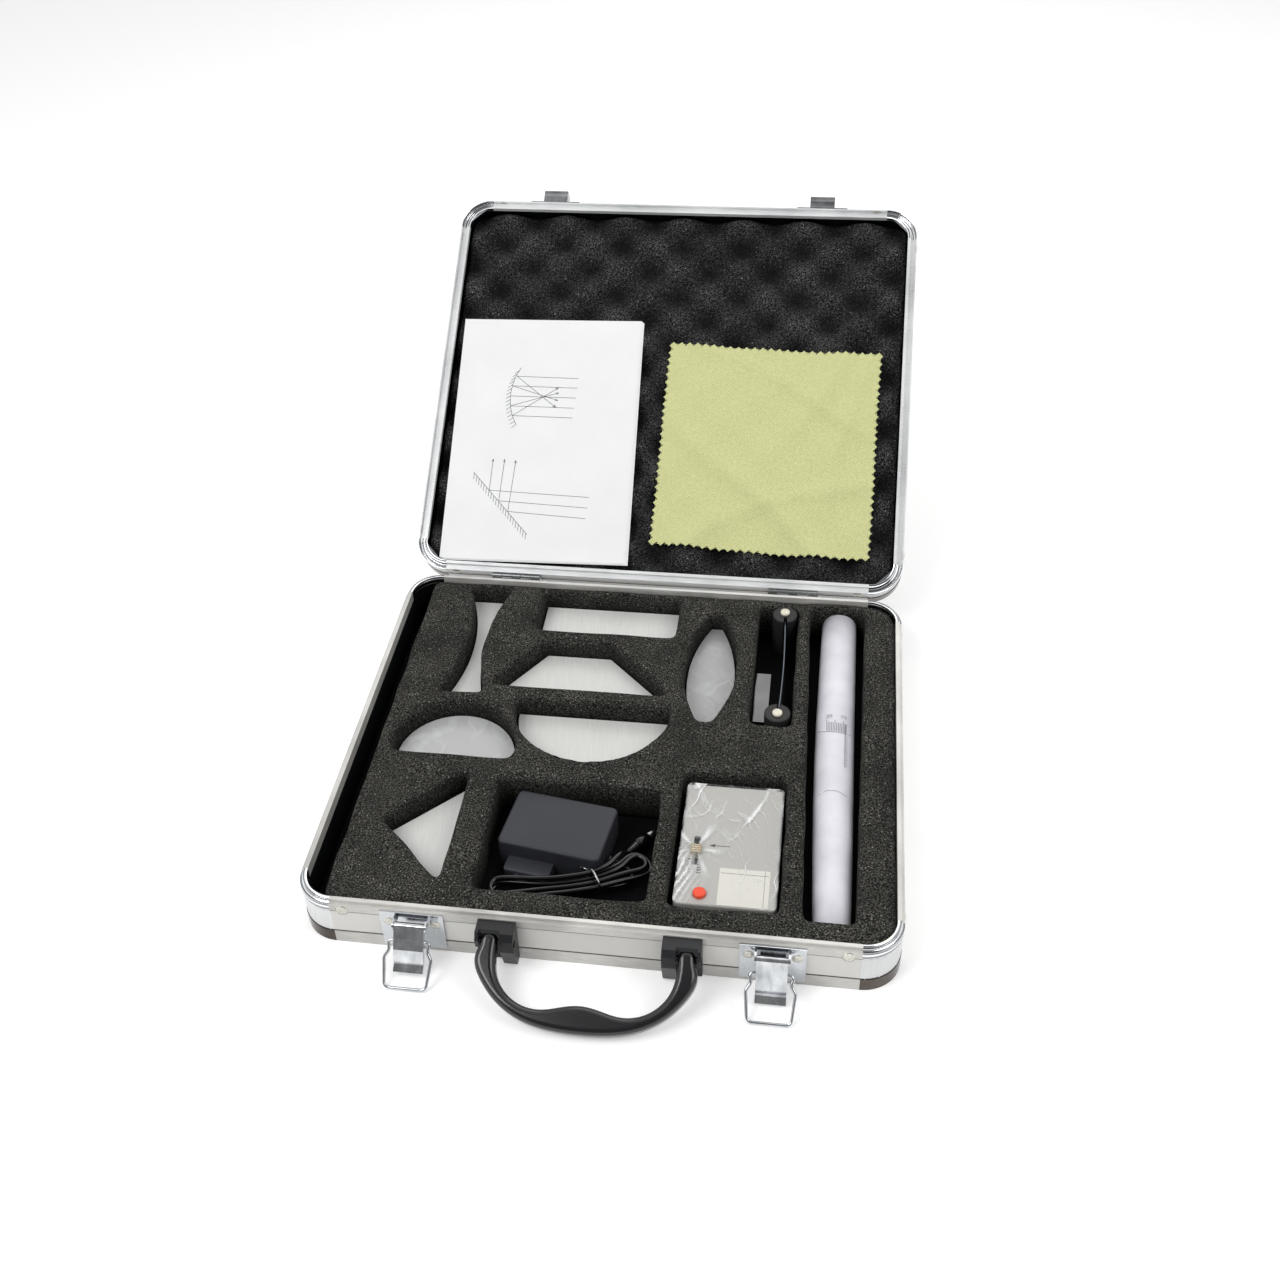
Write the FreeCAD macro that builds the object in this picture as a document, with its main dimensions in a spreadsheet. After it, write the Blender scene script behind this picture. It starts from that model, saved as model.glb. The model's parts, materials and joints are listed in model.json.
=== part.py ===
"""Laser ray box kit in an aluminium-edged carry case, as a parametric document.

Frame: X to the right, Y to the back, Z up, origin at the centre of the case's underside.
The case stands open, so everything on the lid is built closed and then turned about the hinge.
"""

import FreeCAD, Part
import math
import os
import re

import Sketcher

V = FreeCAD.Vector
X_AXIS = V(1, 0, 0)
Y_AXIS = V(0, 1, 0)
Z_AXIS = V(0, 0, 1)
FULL_TURN = 360

doc = FreeCAD.newDocument("RayBoxKit")

# ---------------------------------------------------------------------------------------------
# Driving dimensions, in millimetres and degrees
# ---------------------------------------------------------------------------------------------
SIZES = {
    # case outside
    "case_length": 380.0,
    "case_depth": 330.0,
    "shoulder_height": 36.0,
    "corner_radius": 25.0,
    # edge rails and walls
    "rail_wall": 1.0,
    "skin_recess": 0.4,
    "wall_inside": 3.6,
    "bottom_rail_height": 10.0,
    "rail_foot": 12.0,
    "rail_flange": 6.0,
    "rail_slot": 2.0,
    "rim_width": 4.6,
    "lip_inset": 2.0,
    "lip_height": 2.5,
    "web_drop": 8.1,
    "panel_thickness": 2.0,
    # lid
    "closing_gap": 0.3,
    "lid_height": 22.2,
    "lid_rim_width": 7.3,
    "lid_groove_outer": 1.0,
    "lid_groove_inner": 5.0,
    "lid_groove_depth": 2.7,
    "lid_web": 1.2,
    "lid_open_angle": 146.3,
    # hinges
    "hinge_behind": 1.9,
    "hinge_above": 2.6,
    "hinge_spacing": 216.0,
    "hinge_width": 38.0,
    "knuckle_radius": 1.6,
    "hinge_pin_radius": 0.8,
    "hinge_clearance": 0.05,
    "leaf_thickness": 0.9,
    "leaf_height": 13.0,
    "knuckle_gap": 0.3,
    # rivets
    "rivet_radius": 1.9,
    "rivet_dome": 0.9,
    "corner_rivet_inset": 33.0,
    "latch_rivet_radius": 2.7,
    "latch_rivet_dome": 1.4,
    "latch_rivet_spacing": 29.6,
    # foam and lining
    "pad_thickness": 1.5,
    "foam_top": 36.0,
    "foam_left": 172.0,
    "foam_fit": 0.4,
    "foam_corner": 8.5,
    "pocket_fit": 1.5,
    "prism_pocket_fit": 3.0,
    "lid_foam_face": 42.8,
    "lid_foam_corner": 12.0,
    # handle
    "bracket_spacing": 115.0,
    "bracket_width": 24.0,
    "bracket_plate": 2.6,
    "bracket_bottom": 2.0,
    "bracket_cheek": 8.8,
    "bracket_outer_cheek": 2.2,
    "bracket_reach": 13.0,
    "bracket_hood": 2.5,
    "bracket_hood_reach": 8.5,
    "handle_pivot_out": 9.6,
    "handle_pivot_height": 26.0,
    "handle_half_length": 68.3,
    "handle_reach": 50.5,
    "handle_thickness": 12.0,
    "handle_leg_width": 11.1,
    "handle_round": 4.0,
    "handle_trunnion": 2.6,
    "handle_fit": 0.1,
    "handle_rest_angle": 25.3,
    # latches
    "latch_spacing": 224.0,
    "latch_plate_width": 40.5,
    "latch_plate_bottom": 4.0,
    "latch_plate_top": 35.0,
    "latch_plate_thickness": 1.2,
    "latch_pivot_out": 6.2,
    "latch_pivot_height": 29.0,
    "latch_pin_radius": 1.15,
    "latch_pin_fit": 0.06,
    "lug_thickness": 1.0,
    "lug_radius": 3.2,
    "lever_width": 19.0,
    "lever_side_gap": 0.3,
    "lever_hub": 2.6,
    "lever_length": 29.0,
    "lever_skin": 1.3,
    "lever_flange": 1.7,
    "bail_pin_down": 9.0,
    "bail_pin_out": 1.2,
    "bail_length": 29.0,
    "bail_wire": 1.1,
    "bail_wire_fit": 0.1,
    "bail_ear": 13.5,
    "bail_pinch": 12.1,
    "bail_shoulder": 15.0,
    "bail_end": 13.2,
    "left_lever_rest": 28.0,
    "left_bail_rest": 47.0,
    "right_lever_rest": 18.0,
    "right_bail_rest": 49.0,
    # strikes on the lid
    "strike_width": 41.0,
    "strike_height": 16.0,
    "strike_hook_width": 20.0,
    "strike_hook_out": 10.0,
    "strike_wall": 1.6,
    # acrylic optics
    "optic_thickness": 15.0,
    "biconcave_x": -125.0,
    "biconcave_y": 97.0,
    "biconcave_length": 116.0,
    "biconcave_end_width": 31.0,
    "biconcave_waist": 9.0,
    "slab_x": -29.7,
    "slab_y": 133.2,
    "slab_length": 102.8,
    "slab_width": 41.8,
    "trapezoid_back_left": -71.3,
    "trapezoid_back_right": -23.7,
    "trapezoid_back": 97.5,
    "trapezoid_front": 49.0,
    "trapezoid_left_lean": 33.6,
    "trapezoid_right_lean": 45.0,
    "biconvex_x": 52.6,
    "biconvex_y": 82.4,
    "biconvex_length": 115.0,
    "biconvex_width": 34.5,
    "biconvex_end": 8.0,
    "half_moon_x": -118.5,
    "half_moon_y": -15.0,
    "half_moon_radius": 41.8,
    "half_moon_back": 9.0,
    "semicircle_x": -26.8,
    "semicircle_y": 32.6,
    "semicircle_radius": 54.4,
    "prism_face": -104.0,
    "prism_y": -88.0,
    "prism_leg": 60.2,
    # mirror set
    "mirror_pocket_left": 84.2,
    "mirror_pocket_right": 113.6,
    "mirror_pocket_front": 24.6,
    "mirror_pocket_back": 153.4,
    "post_radius": 9.2,
    "post_height": 31.5,
    "post_x": 103.4,
    "post_back_y": 143.4,
    "post_front_y": 35.9,
    "mirror_strip_height": 24.0,
    "mirror_strip_thickness": 0.8,
    "mirror_bow": 3.2,
    "mirror_slot": 1.2,
    "post_screw_radius": 3.4,
    "post_screw_head": 1.6,
    "flat_mirror_length": 52.0,
    "flat_mirror_width": 11.0,
    "flat_mirror_thickness": 2.0,
    "flat_mirror_gap": 0.6,
    "flat_mirror_front": 55.6,
    # paper roll
    "roll_x": 143.4,
    "roll_radius": 14.4,
    "roll_bore": 9.6,
    "roll_back": 150.5,
    "roll_front": -137.5,
    "channel_back_left": 122.4,
    "channel_back_right": 163.6,
    "channel_front_left": 128.4,
    "channel_front_right": 161.2,
    # ray box
    "box_x": 80.0,
    "box_y": -84.0,
    "box_width": 64.0,
    "box_length": 102.0,
    "box_height": 25.0,
    "box_wall": 2.0,
    "box_round": 3.0,
    "box_pocket_left": 43.8,
    "box_pocket_right": 114.2,
    "box_pocket_front": -139.9,
    "box_pocket_back": -26.0,
    "box_bag": 0.4,
    "box_bag_slack": 0.3,
    "box_bag_top": 34.0,
    "boss_radius": 3.2,
    "boss_inset": 6.0,
    "screw_radius": 1.2,
    "screw_fit": 0.1,
    "screw_head_radius": 2.4,
    "screw_head": 1.4,
    "board_thickness": 1.6,
    "board_above_floor": 3.0,
    "stand_inset_x": 16.0,
    "stand_inset_y": 24.0,
    "slide_body_length": 16.0,
    "slide_body_width": 6.0,
    "laser_radius": 4.0,
    "laser_length": 24.0,
    "laser_pitch": 18.0,
    "laser_above_board": 4.4,
    "window_length": 84.0,
    "window_height": 8.0,
    "window_thickness": 1.6,
    "switch_x": 58.4,
    "switch_y": -91.0,
    "switch_slot_length": 24.0,
    "switch_slot_width": 4.0,
    "switch_travel": 7.0,
    "switch_knob": 7.0,
    "switch_knob_height": 2.4,
    "button_x": 63.8,
    "button_y": -126.6,
    "button_radius": 4.2,
    "button_height": 2.6,
    "button_flange": 5.2,
    "button_travel": 1.5,
    "button_stem": 2.4,
    "knob_foot": 1.2,
    "slide_fit": 0.15,
    "socket_y": -119.4,
    "socket_radius": 3.0,
    "socket_pin_radius": 0.8,
    "socket_width": 9.0,
    "socket_depth": 12.0,
    # adapter
    "adapter_pocket_left": -79.4,
    "adapter_pocket_right": 31.4,
    "adapter_pocket_front": -139.5,
    "adapter_pocket_back": -44.6,
    "adapter_x": -34.4,
    "adapter_y": -76.6,
    "adapter_length": 70.0,
    "adapter_width": 48.0,
    "adapter_height": 23.5,
    "adapter_turn": -8.5,
    "adapter_round": 4.0,
    "adapter_boss_length": 31.0,
    "adapter_boss_out": 12.0,
    "adapter_boss_height": 11.0,
    "prong_length": 9.0,
    "prong_width": 6.4,
    "prong_thickness": 1.6,
    "prong_spacing": 12.7,
    "relief_length": 7.0,
    "relief_radius": 3.0,
    "cord_radius": 1.7,
    "plug_length": 22.0,
    "plug_radius": 4.6,
    "plug_barrel_radius": 2.75,
    "plug_barrel_length": 9.0,
    "plug_bore": 1.1,
    # laid on the lid foam
    "booklet_x": -100.7,
    "booklet_y": 47.6,
    "booklet_width": 148.0,
    "booklet_length": 210.0,
    "booklet_thickness": 1.4,
    "booklet_turn": -1.3,
    "cloth_x": 80.2,
    "cloth_y": 49.0,
    "cloth_width": 172.0,
    "cloth_length": 176.0,
    "cloth_thickness": 0.8,
    "lid_load_gap": 0.3,
}

sheet = doc.addObject("Spreadsheet::Sheet", "Sizes")
for row, (alias, number) in enumerate(SIZES.items(), start=1):
    sheet.set("A%d" % row, alias)
    sheet.set("B%d" % row, str(number))
    sheet.setAlias("B%d" % row, alias)
doc.recompute()

WORD = re.compile(r"[a-z][a-z_0-9]*")


def bound(text):
    """Turns the size names in a formula into references to the sheet's cells."""
    return WORD.sub(lambda hit: "Sizes." + hit.group(0) if hit.group(0) in SIZES else hit.group(0), text)


def size(text):
    """The present value of a formula of size names."""
    return float(sheet.evalExpression(bound(text)))


# the inside of the case is laid out for this length and depth, and follows the case from there
LAYOUT_GRID = (380.0, 330.0)


def wide(text):
    """A formula's value along X inside the case, in step with the case's length."""
    return size(text) * size("case_length") / LAYOUT_GRID[0]


def deep(text):
    """A formula's value along Y inside the case, in step with the case's depth."""
    return size(text) * size("case_depth") / LAYOUT_GRID[1]


def spot(x, y, z):
    """A point inside the case, in step with the case's length and depth."""
    return V(x * wide("1"), y * deep("1"), z)


# levels that many pieces share
FLOOR_TOP = "rail_wall + panel_thickness"
PAD_TOP = "rail_wall + panel_thickness + pad_thickness"
SLOT_TOP = "shoulder_height - rail_slot"
WEB_BOTTOM = "shoulder_height + lip_height - web_drop"
LID_SEAM = "shoulder_height + closing_gap"
LID_TOP = "shoulder_height + closing_gap + lid_height"
LID_WEB = "shoulder_height + closing_gap + lid_groove_depth"
OPTIC_TOP = PAD_TOP + " + optic_thickness"
BOX_BOTTOM = PAD_TOP + " + box_bag + box_bag_slack"
BOX_TOP = BOX_BOTTOM + " + box_height"

NODES = {}


def keep(label, feature, place=None):
    """Names a finished sub-part and puts it in its place."""
    feature.Label = label
    if place is not None:
        feature.Placement = place.multiply(feature.Placement)
    NODES[label] = feature
    return feature


def add(kind, name, **formulas):
    """Adds a Part primitive whose properties follow the sheet."""
    feature = doc.addObject(kind, name)
    for prop, text in formulas.items():
        feature.setExpression(prop.replace("_", "."), bound(text))
    return feature


def box(name, x, y, z, dx, dy, dz):
    """A block from its lowest corner and its three sides."""
    block = add("Part::Box", name, Length=dx, Width=dy, Height=dz)
    block.setExpression("Placement.Base.x", bound(x))
    block.setExpression("Placement.Base.y", bound(y))
    block.setExpression("Placement.Base.z", bound(z))
    return block


ALONG_X = FreeCAD.Rotation(Y_AXIS, 90)
ALONG_Y = FreeCAD.Rotation(X_AXIS, -90)


def rod(name, x, y, z, radius, length, turn=None):
    """A cylinder from the centre of its first end, along Z unless it is turned."""
    cylinder = add("Part::Cylinder", name, Radius=radius, Height=length)
    if turn is not None:
        cylinder.Placement = FreeCAD.Placement(V(0, 0, 0), turn)
    cylinder.setExpression("Placement.Base.x", bound(x))
    cylinder.setExpression("Placement.Base.y", bound(y))
    cylinder.setExpression("Placement.Base.z", bound(z))
    return cylinder


def outline(owner, name, points, closed=True):
    """A sketch of straight edges whose corners are formulas of the sheet's sizes."""
    if hasattr(owner, "newObject"):
        sketch = owner.newObject("Sketcher::SketchObject", name)
    else:
        sketch = owner.addObject("Sketcher::SketchObject", name)
    corners = [V(size(a), size(b), 0) for a, b in points]
    count = len(corners)
    for start, end in zip(corners, corners[1:] + corners[:1]):
        sketch.addGeometry(Part.LineSegment(start, end), False)
    for index in range(count):
        sketch.addConstraint(Sketcher.Constraint("Coincident", index, 2, (index + 1) % count, 1))
    for index, ((a, b), corner) in enumerate(zip(points, corners)):
        for kind, text, number, axis in (("DistanceX", a, corner.x, -2), ("DistanceY", b, corner.y, -1)):
            if text == "0":
                sketch.addConstraint(Sketcher.Constraint("PointOnObject", index, 1, axis))
                continue
            place = sketch.addConstraint(Sketcher.Constraint(kind, -1, 1, index, 1, number))
            sketch.setExpression("Constraints[%d]" % place, bound(text))
    return sketch


def extrude(name, sketch, length, direction):
    """Pulls a sketch into a solid."""
    solid = doc.addObject("Part::Extrusion", name)
    solid.Base = sketch
    solid.DirMode = "Custom"
    solid.Dir = direction
    solid.Solid = True
    solid.setExpression("LengthFwd", bound(length))
    return solid


def prism(name, points, z, height):
    """An upright solid on a polygon of formulas."""
    sketch = outline(doc, name + "Outline", points)
    sketch.setExpression("Placement.Base.z", bound(z))
    return extrude(name, sketch, height, Z_AXIS)


def mirror(name, source, normal):
    """The other hand of a piece, across a plane through the origin."""
    copy = doc.addObject("Part::Mirroring", name)
    copy.Source = source
    copy.Normal = normal
    copy.Base = V(0, 0, 0)
    return copy


def group(name, features):
    """Several separate solids in one node."""
    bundle = doc.addObject("Part::Compound", name)
    bundle.Links = features
    return bundle


def fuse(name, features):
    """Joins features into one solid."""
    union = doc.addObject("Part::MultiFuse", name)
    union.Shapes = features
    union.Refine = True
    return union


def cut(name, base, tool):
    """Takes a tool away from a base."""
    difference = doc.addObject("Part::Cut", name)
    difference.Base = base
    difference.Tool = tool
    difference.Refine = True
    return difference


def common(name, first, second):
    """What two features share."""
    overlap = doc.addObject("Part::Common", name)
    overlap.Base = first
    overlap.Tool = second
    overlap.Refine = True
    return overlap


def made(name, shape):
    """A feature whose shape is worked out in code from the sheet's sizes."""
    feature = doc.addObject("Part::Feature", name)
    feature.Shape = shape
    return feature


def rounded_plate(name, length, depth, radius, z, height, x="0", y="0"):
    """A plate with four rounded upright corners, centred on x and y."""
    body = doc.addObject("PartDesign::Body", name)
    plane = [f for f in body.Origin.OriginFeatures if f.Role == "XY_Plane"][0]
    left, right = "(%s) - (%s) / 2" % (x, length), "(%s) + (%s) / 2" % (x, length)
    front, back = "(%s) - (%s) / 2" % (y, depth), "(%s) + (%s) / 2" % (y, depth)
    sketch = outline(body, name + "Sketch", [(left, front), (right, front), (right, back), (left, back)])
    sketch.AttachmentSupport = (plane, "")
    sketch.MapMode = "FlatFace"
    sketch.setExpression("AttachmentOffset.Base.z", bound(z))
    pad = body.newObject("PartDesign::Pad", name + "Pad")
    pad.Profile = sketch
    pad.setExpression("Length", bound(height))
    doc.recompute()
    upright = [
        "Edge%d" % (index + 1)
        for index, edge in enumerate(pad.Shape.Edges)
        if abs(edge.Vertexes[0].Z - edge.Vertexes[-1].Z) > size(height) / 2
    ]
    fillet = body.newObject("PartDesign::Fillet", name + "Round")
    fillet.Base = (pad, upright)
    fillet.setExpression("Radius", bound(radius))
    body.Tip = fillet
    return body


# ---------------------------------------------------------------------------------------------
# Case frame: four straight lengths and four quarter-turn corners of one section
# ---------------------------------------------------------------------------------------------
INTO_FRONT = FreeCAD.Rotation(Y_AXIS, Z_AXIS, X_AXIS, "ZXY")
INTO_LEFT = FreeCAD.Rotation(X_AXIS, Z_AXIS, V(0, -1, 0), "ZXY")


def straights(name, section):
    """Front, back, left and right lengths of a section given as inset and height."""
    front = outline(doc, name + "FrontSection", section)
    front.Placement = FreeCAD.Placement(V(0, 0, 0), INTO_FRONT)
    front.setExpression("Placement.Base.x", bound("corner_radius - case_length / 2"))
    front.setExpression("Placement.Base.y", bound("0 - case_depth / 2"))
    front_length = extrude(name + "Front", front, "case_length - 2 * corner_radius", X_AXIS)
    left = outline(doc, name + "LeftSection", section)
    left.Placement = FreeCAD.Placement(V(0, 0, 0), INTO_LEFT)
    left.setExpression("Placement.Base.x", bound("0 - case_length / 2"))
    left.setExpression("Placement.Base.y", bound("case_depth / 2 - corner_radius"))
    left_length = extrude(name + "Left", left, "case_depth - 2 * corner_radius", V(0, -1, 0))
    return [
        front_length,
        mirror(name + "Back", front_length, Y_AXIS),
        left_length,
        mirror(name + "Right", left_length, X_AXIS),
    ]


def corners(name, section):
    """The same section turned round each of the four corners."""
    sketch = outline(doc, name + "Section", section)
    sketch.Placement = FreeCAD.Placement(V(0, 0, 0), INTO_FRONT)
    sketch.setExpression("Placement.Base.x", bound("corner_radius - case_length / 2"))
    sketch.setExpression("Placement.Base.y", bound("0 - case_depth / 2"))
    turned = doc.addObject("Part::Revolution", name + "FrontLeft")
    turned.Source = sketch
    turned.Axis = V(0, 0, -1)
    turned.Angle = 90
    turned.Solid = True
    turned.setExpression("Base.x", bound("corner_radius - case_length / 2"))
    turned.setExpression("Base.y", bound("corner_radius - case_depth / 2"))
    front_right = mirror(name + "FrontRight", turned, X_AXIS)
    return [
        turned,
        front_right,
        mirror(name + "BackLeft", turned, Y_AXIS),
        mirror(name + "BackRight", front_right, Y_AXIS),
    ]


BASE_RIM = [
    ("0", "shoulder_height - rail_flange"),
    ("0", "shoulder_height"),
    ("lip_inset", "shoulder_height"),
    ("lip_inset", "shoulder_height + lip_height"),
    ("rim_width", "shoulder_height + lip_height"),
    ("rim_width", WEB_BOTTOM),
    ("wall_inside", WEB_BOTTOM),
    ("wall_inside", SLOT_TOP),
    ("rail_wall", SLOT_TOP),
    ("rail_wall", "shoulder_height - rail_flange"),
]
BASE_FOOT = [
    ("0", "0"),
    ("0", "bottom_rail_height"),
    ("rail_wall", "bottom_rail_height"),
    ("rail_wall", "rail_wall"),
    ("rail_foot", "rail_wall"),
    ("rail_foot", "0"),
]
BASE_WALL = [
    ("rail_wall", FLOOR_TOP),
    ("rail_wall", "bottom_rail_height"),
    ("skin_recess", "bottom_rail_height"),
    ("skin_recess", "shoulder_height - rail_flange"),
    ("rail_wall", "shoulder_height - rail_flange"),
    ("rail_wall", SLOT_TOP),
    ("wall_inside", SLOT_TOP),
    ("wall_inside", FLOOR_TOP),
]
LID_RIM = [
    ("0", LID_SEAM),
    ("lid_groove_outer", LID_SEAM),
    ("lid_groove_outer", LID_WEB),
    ("lid_groove_inner", LID_WEB),
    ("lid_groove_inner", LID_SEAM),
    ("lid_rim_width", LID_SEAM),
    ("lid_rim_width", LID_WEB + " + lid_web"),
    ("rim_width", LID_WEB + " + lid_web"),
    ("rim_width", LID_SEAM + " + rail_flange"),
    ("wall_inside", LID_SEAM + " + rail_flange"),
    ("wall_inside", LID_WEB + " + lid_web"),
    ("rail_wall", LID_WEB + " + lid_web"),
    ("rail_wall", LID_SEAM + " + rail_flange"),
    ("0", LID_SEAM + " + rail_flange"),
]
LID_CROWN = [
    ("0", LID_TOP),
    ("0", LID_TOP + " - bottom_rail_height"),
    ("rail_wall", LID_TOP + " - bottom_rail_height"),
    ("rail_wall", LID_TOP + " - rail_wall"),
    ("rail_foot", LID_TOP + " - rail_wall"),
    ("rail_foot", LID_TOP),
]
LID_WALL = [
    ("rail_wall", LID_WEB + " + lid_web"),
    ("rail_wall", LID_SEAM + " + rail_flange"),
    ("skin_recess", LID_SEAM + " + rail_flange"),
    ("skin_recess", LID_TOP + " - bottom_rail_height"),
    ("rail_wall", LID_TOP + " - bottom_rail_height"),
    ("rail_wall", LID_TOP + " - rail_wall - panel_thickness"),
    ("wall_inside", LID_TOP + " - rail_wall - panel_thickness"),
    ("wall_inside", LID_WEB + " + lid_web"),
]

HINGE_Y = "case_depth / 2 + hinge_behind"
HINGE_Z = "shoulder_height + hinge_above"


def lid_opened():
    """The turn that takes the closed lid to where it rests open."""
    turn = FreeCAD.Rotation(X_AXIS, -size("lid_open_angle"))
    return FreeCAD.Placement(V(0, 0, 0), turn, V(0, size(HINGE_Y), size(HINGE_Z)))


def rebated_panel(name, low, step_up, step, panel):
    """A floor or top panel with a rebate all round for the edge rail's foot."""
    inner = rounded_plate(
        name + "Face",
        "case_length - 2 * rail_foot",
        "case_depth - 2 * rail_foot",
        "corner_radius - rail_foot",
        low if step_up else low + " + (" + panel + ")",
        step,
    )
    outer = rounded_plate(
        name + "Core",
        "case_length - 2 * rail_wall",
        "case_depth - 2 * rail_wall",
        "corner_radius - rail_wall",
        low + " + (" + step + ")" if step_up else low,
        panel,
    )
    return fuse(name, [inner, outer])


def make_base_frame():
    """Panels, rails and corner pieces of the lower half."""
    keep("base_bottom_panel", rebated_panel("BottomPanel", "0", True, "rail_wall", "panel_thickness"))
    keep("base_wall_panels", group("BaseWalls", straights("BaseWall", BASE_WALL)))
    keep("base_corner_posts", group("BasePosts", corners("BasePost", BASE_WALL)))
    rails = straights("BaseRim", BASE_RIM) + straights("BaseFoot", BASE_FOOT)
    keep("base_edge_rails", group("BaseRails", rails))
    keep("base_rim_corners", group("BaseRimCorners", corners("BaseRimCorner", BASE_RIM)))
    keep("base_bottom_corners", group("BaseFootCorners", corners("BaseFootCorner", BASE_FOOT)))


def make_lid_frame():
    """Panels, rails and corner pieces of the lid, built closed."""
    low = LID_TOP + " - rail_wall - panel_thickness"
    panel = rebated_panel("TopPanel", low, False, "rail_wall", "panel_thickness")
    keep("lid_top_panel", panel, lid_opened())
    keep("lid_wall_panels", group("LidWalls", straights("LidWall", LID_WALL)), lid_opened())
    keep("lid_corner_posts", group("LidPosts", corners("LidPost", LID_WALL)), lid_opened())
    rails = straights("LidRim", LID_RIM) + straights("LidCrown", LID_CROWN)
    keep("lid_edge_rails", group("LidRails", rails), lid_opened())
    keep("lid_rim_corners", group("LidRimCorners", corners("LidRimCorner", LID_RIM)), lid_opened())
    keep("lid_top_corners", group("LidCrownCorners", corners("LidCrownCorner", LID_CROWN)), lid_opened())


# ---------------------------------------------------------------------------------------------
# Rivets, hinges, handle and latches
# ---------------------------------------------------------------------------------------------
def dome(centre, outward, radius, rise):
    """A rivet head: a shallow dome whose flat side stands on a surface."""
    ball_radius = (radius * radius + rise * rise) / (2 * rise)
    arc = Part.Arc(
        V(radius, 0, 0),
        V(ball_radius * math.sin(math.asin(radius / ball_radius) / 2), 0,
          ball_radius * math.cos(math.asin(radius / ball_radius) / 2) - ball_radius + rise),
        V(0, 0, rise),
    )
    edges = [
        Part.makeLine(V(0, 0, 0), V(radius, 0, 0)),
        arc.toShape(),
        Part.makeLine(V(0, 0, rise), V(0, 0, 0)),
    ]
    head = Part.Face(Part.Wire(edges)).revolve(V(0, 0, 0), Z_AXIS, FULL_TURN)
    head.Placement = FreeCAD.Placement(centre, FreeCAD.Rotation(Z_AXIS, outward))
    return head


def corner_rivets(z):
    """One rivet on each side of each corner fitting."""
    half_length = size("case_length / 2")
    half_depth = size("case_depth / 2")
    inset = size("corner_rivet_inset")
    heads = []
    for side in (-1, 1):
        for end in (-1, 1):
            spot = V(side * (half_length - inset), end * half_depth, z)
            heads.append(dome(spot, V(0, end, 0), size("rivet_radius"), size("rivet_dome")))
            spot = V(side * half_length, end * (half_depth - inset), z)
            heads.append(dome(spot, V(side, 0, 0), size("rivet_radius"), size("rivet_dome")))
    return heads


def plate_rivets(z):
    """Two rivets on each of the two latch plates or strikes."""
    face = -size("case_depth / 2 + latch_plate_thickness")
    heads = []
    for side in (-1, 1):
        for end in (-1, 1):
            x = side * size("latch_spacing / 2") + end * size("latch_rivet_spacing / 2")
            radius = size("latch_rivet_radius")
            heads.append(dome(V(x, face, z), V(0, -1, 0), radius, size("latch_rivet_dome")))
    return heads


def leaf_rivets(z):
    """Three rivets on each hinge leaf."""
    face = size("case_depth / 2 + leaf_thickness")
    heads = []
    for side in (-1, 1):
        for step in (-1, 0, 1):
            x = side * size("hinge_spacing / 2") + step * size("hinge_width") / 3
            heads.append(dome(V(x, face, z), V(0, 1, 0), size("rivet_radius"), size("rivet_dome")))
    return heads


def make_rivets():
    """Every rivet head of the base and of the lid."""
    rail_middle = size("shoulder_height - rail_flange / 2")
    heads = corner_rivets(rail_middle)
    heads += plate_rivets(size("latch_plate_top - 8.7"))
    heads += leaf_rivets(size("shoulder_height + hinge_above - leaf_height / 2 - knuckle_radius"))
    keep("base_rivets", made("BaseRivets", Part.makeCompound(heads)))
    heads = corner_rivets(size(LID_SEAM + " + rail_flange / 2"))
    heads += plate_rivets(size("shoulder_height + 9"))
    heads += leaf_rivets(size("shoulder_height + hinge_above + leaf_height / 2 + knuckle_radius"))
    keep("lid_rivets", made("LidRivets", Part.makeCompound(heads)), lid_opened())


def hinge_leaf(name, side, upward):
    """A leaf on the back wall with its share of the five knuckles."""
    centre = side * size("hinge_spacing / 2")
    width = size("hinge_width")
    gap = size("knuckle_gap")
    radius = size("knuckle_radius")
    wall = size("case_depth / 2")
    axis_y = size(HINGE_Y)
    axis_z = size(HINGE_Z)
    leaf = size("leaf_thickness")
    start = axis_z + upward * (radius + gap)
    plate = Part.makeBox(width, leaf, size("leaf_height"))
    low = start if upward > 0 else start - size("leaf_height")
    plate.translate(V(centre - width / 2, wall, low))
    pieces = [plate]
    share = width / 5
    for index in range(5):
        if (index % 2 == 0) == (upward > 0):
            continue
        left = centre - width / 2 + index * share + gap / 2
        long = share - gap
        barrel = Part.makeCylinder(radius, long, V(left, axis_y, axis_z), X_AXIS)
        neck_low = axis_z if upward > 0 else start
        neck = Part.makeBox(long, leaf, abs(start - axis_z))
        neck.translate(V(left, wall, neck_low))
        pieces += [barrel, neck]
    solid = pieces[0].multiFuse(pieces[1:]).removeSplitter()
    bore = size("hinge_pin_radius + hinge_clearance")
    hole = Part.makeCylinder(bore, width + 2, V(centre - width / 2 - 1, axis_y, axis_z), X_AXIS)
    return made(name, solid.cut(hole))


def make_hinges():
    """Two five-knuckle hinges on the back wall."""
    base = [hinge_leaf("BaseLeafLeft", -1, -1), hinge_leaf("BaseLeafRight", 1, -1)]
    keep("hinge_base_leaves", group("BaseLeaves", base))
    lid = [hinge_leaf("LidLeafLeft", -1, 1), hinge_leaf("LidLeafRight", 1, 1)]
    keep("hinge_lid_leaves", group("LidLeaves", lid), lid_opened())
    pins = []
    for side, start in (("Left", "0 - hinge_spacing / 2"), ("Right", "hinge_spacing / 2")):
        x = start + " - hinge_width / 2 - 0.5"
        pins.append(rod("HingePin" + side, x, HINGE_Y, HINGE_Z, "hinge_pin_radius", "hinge_width + 1", ALONG_X))
    keep("hinge_pins", group("HingePins", pins))


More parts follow.
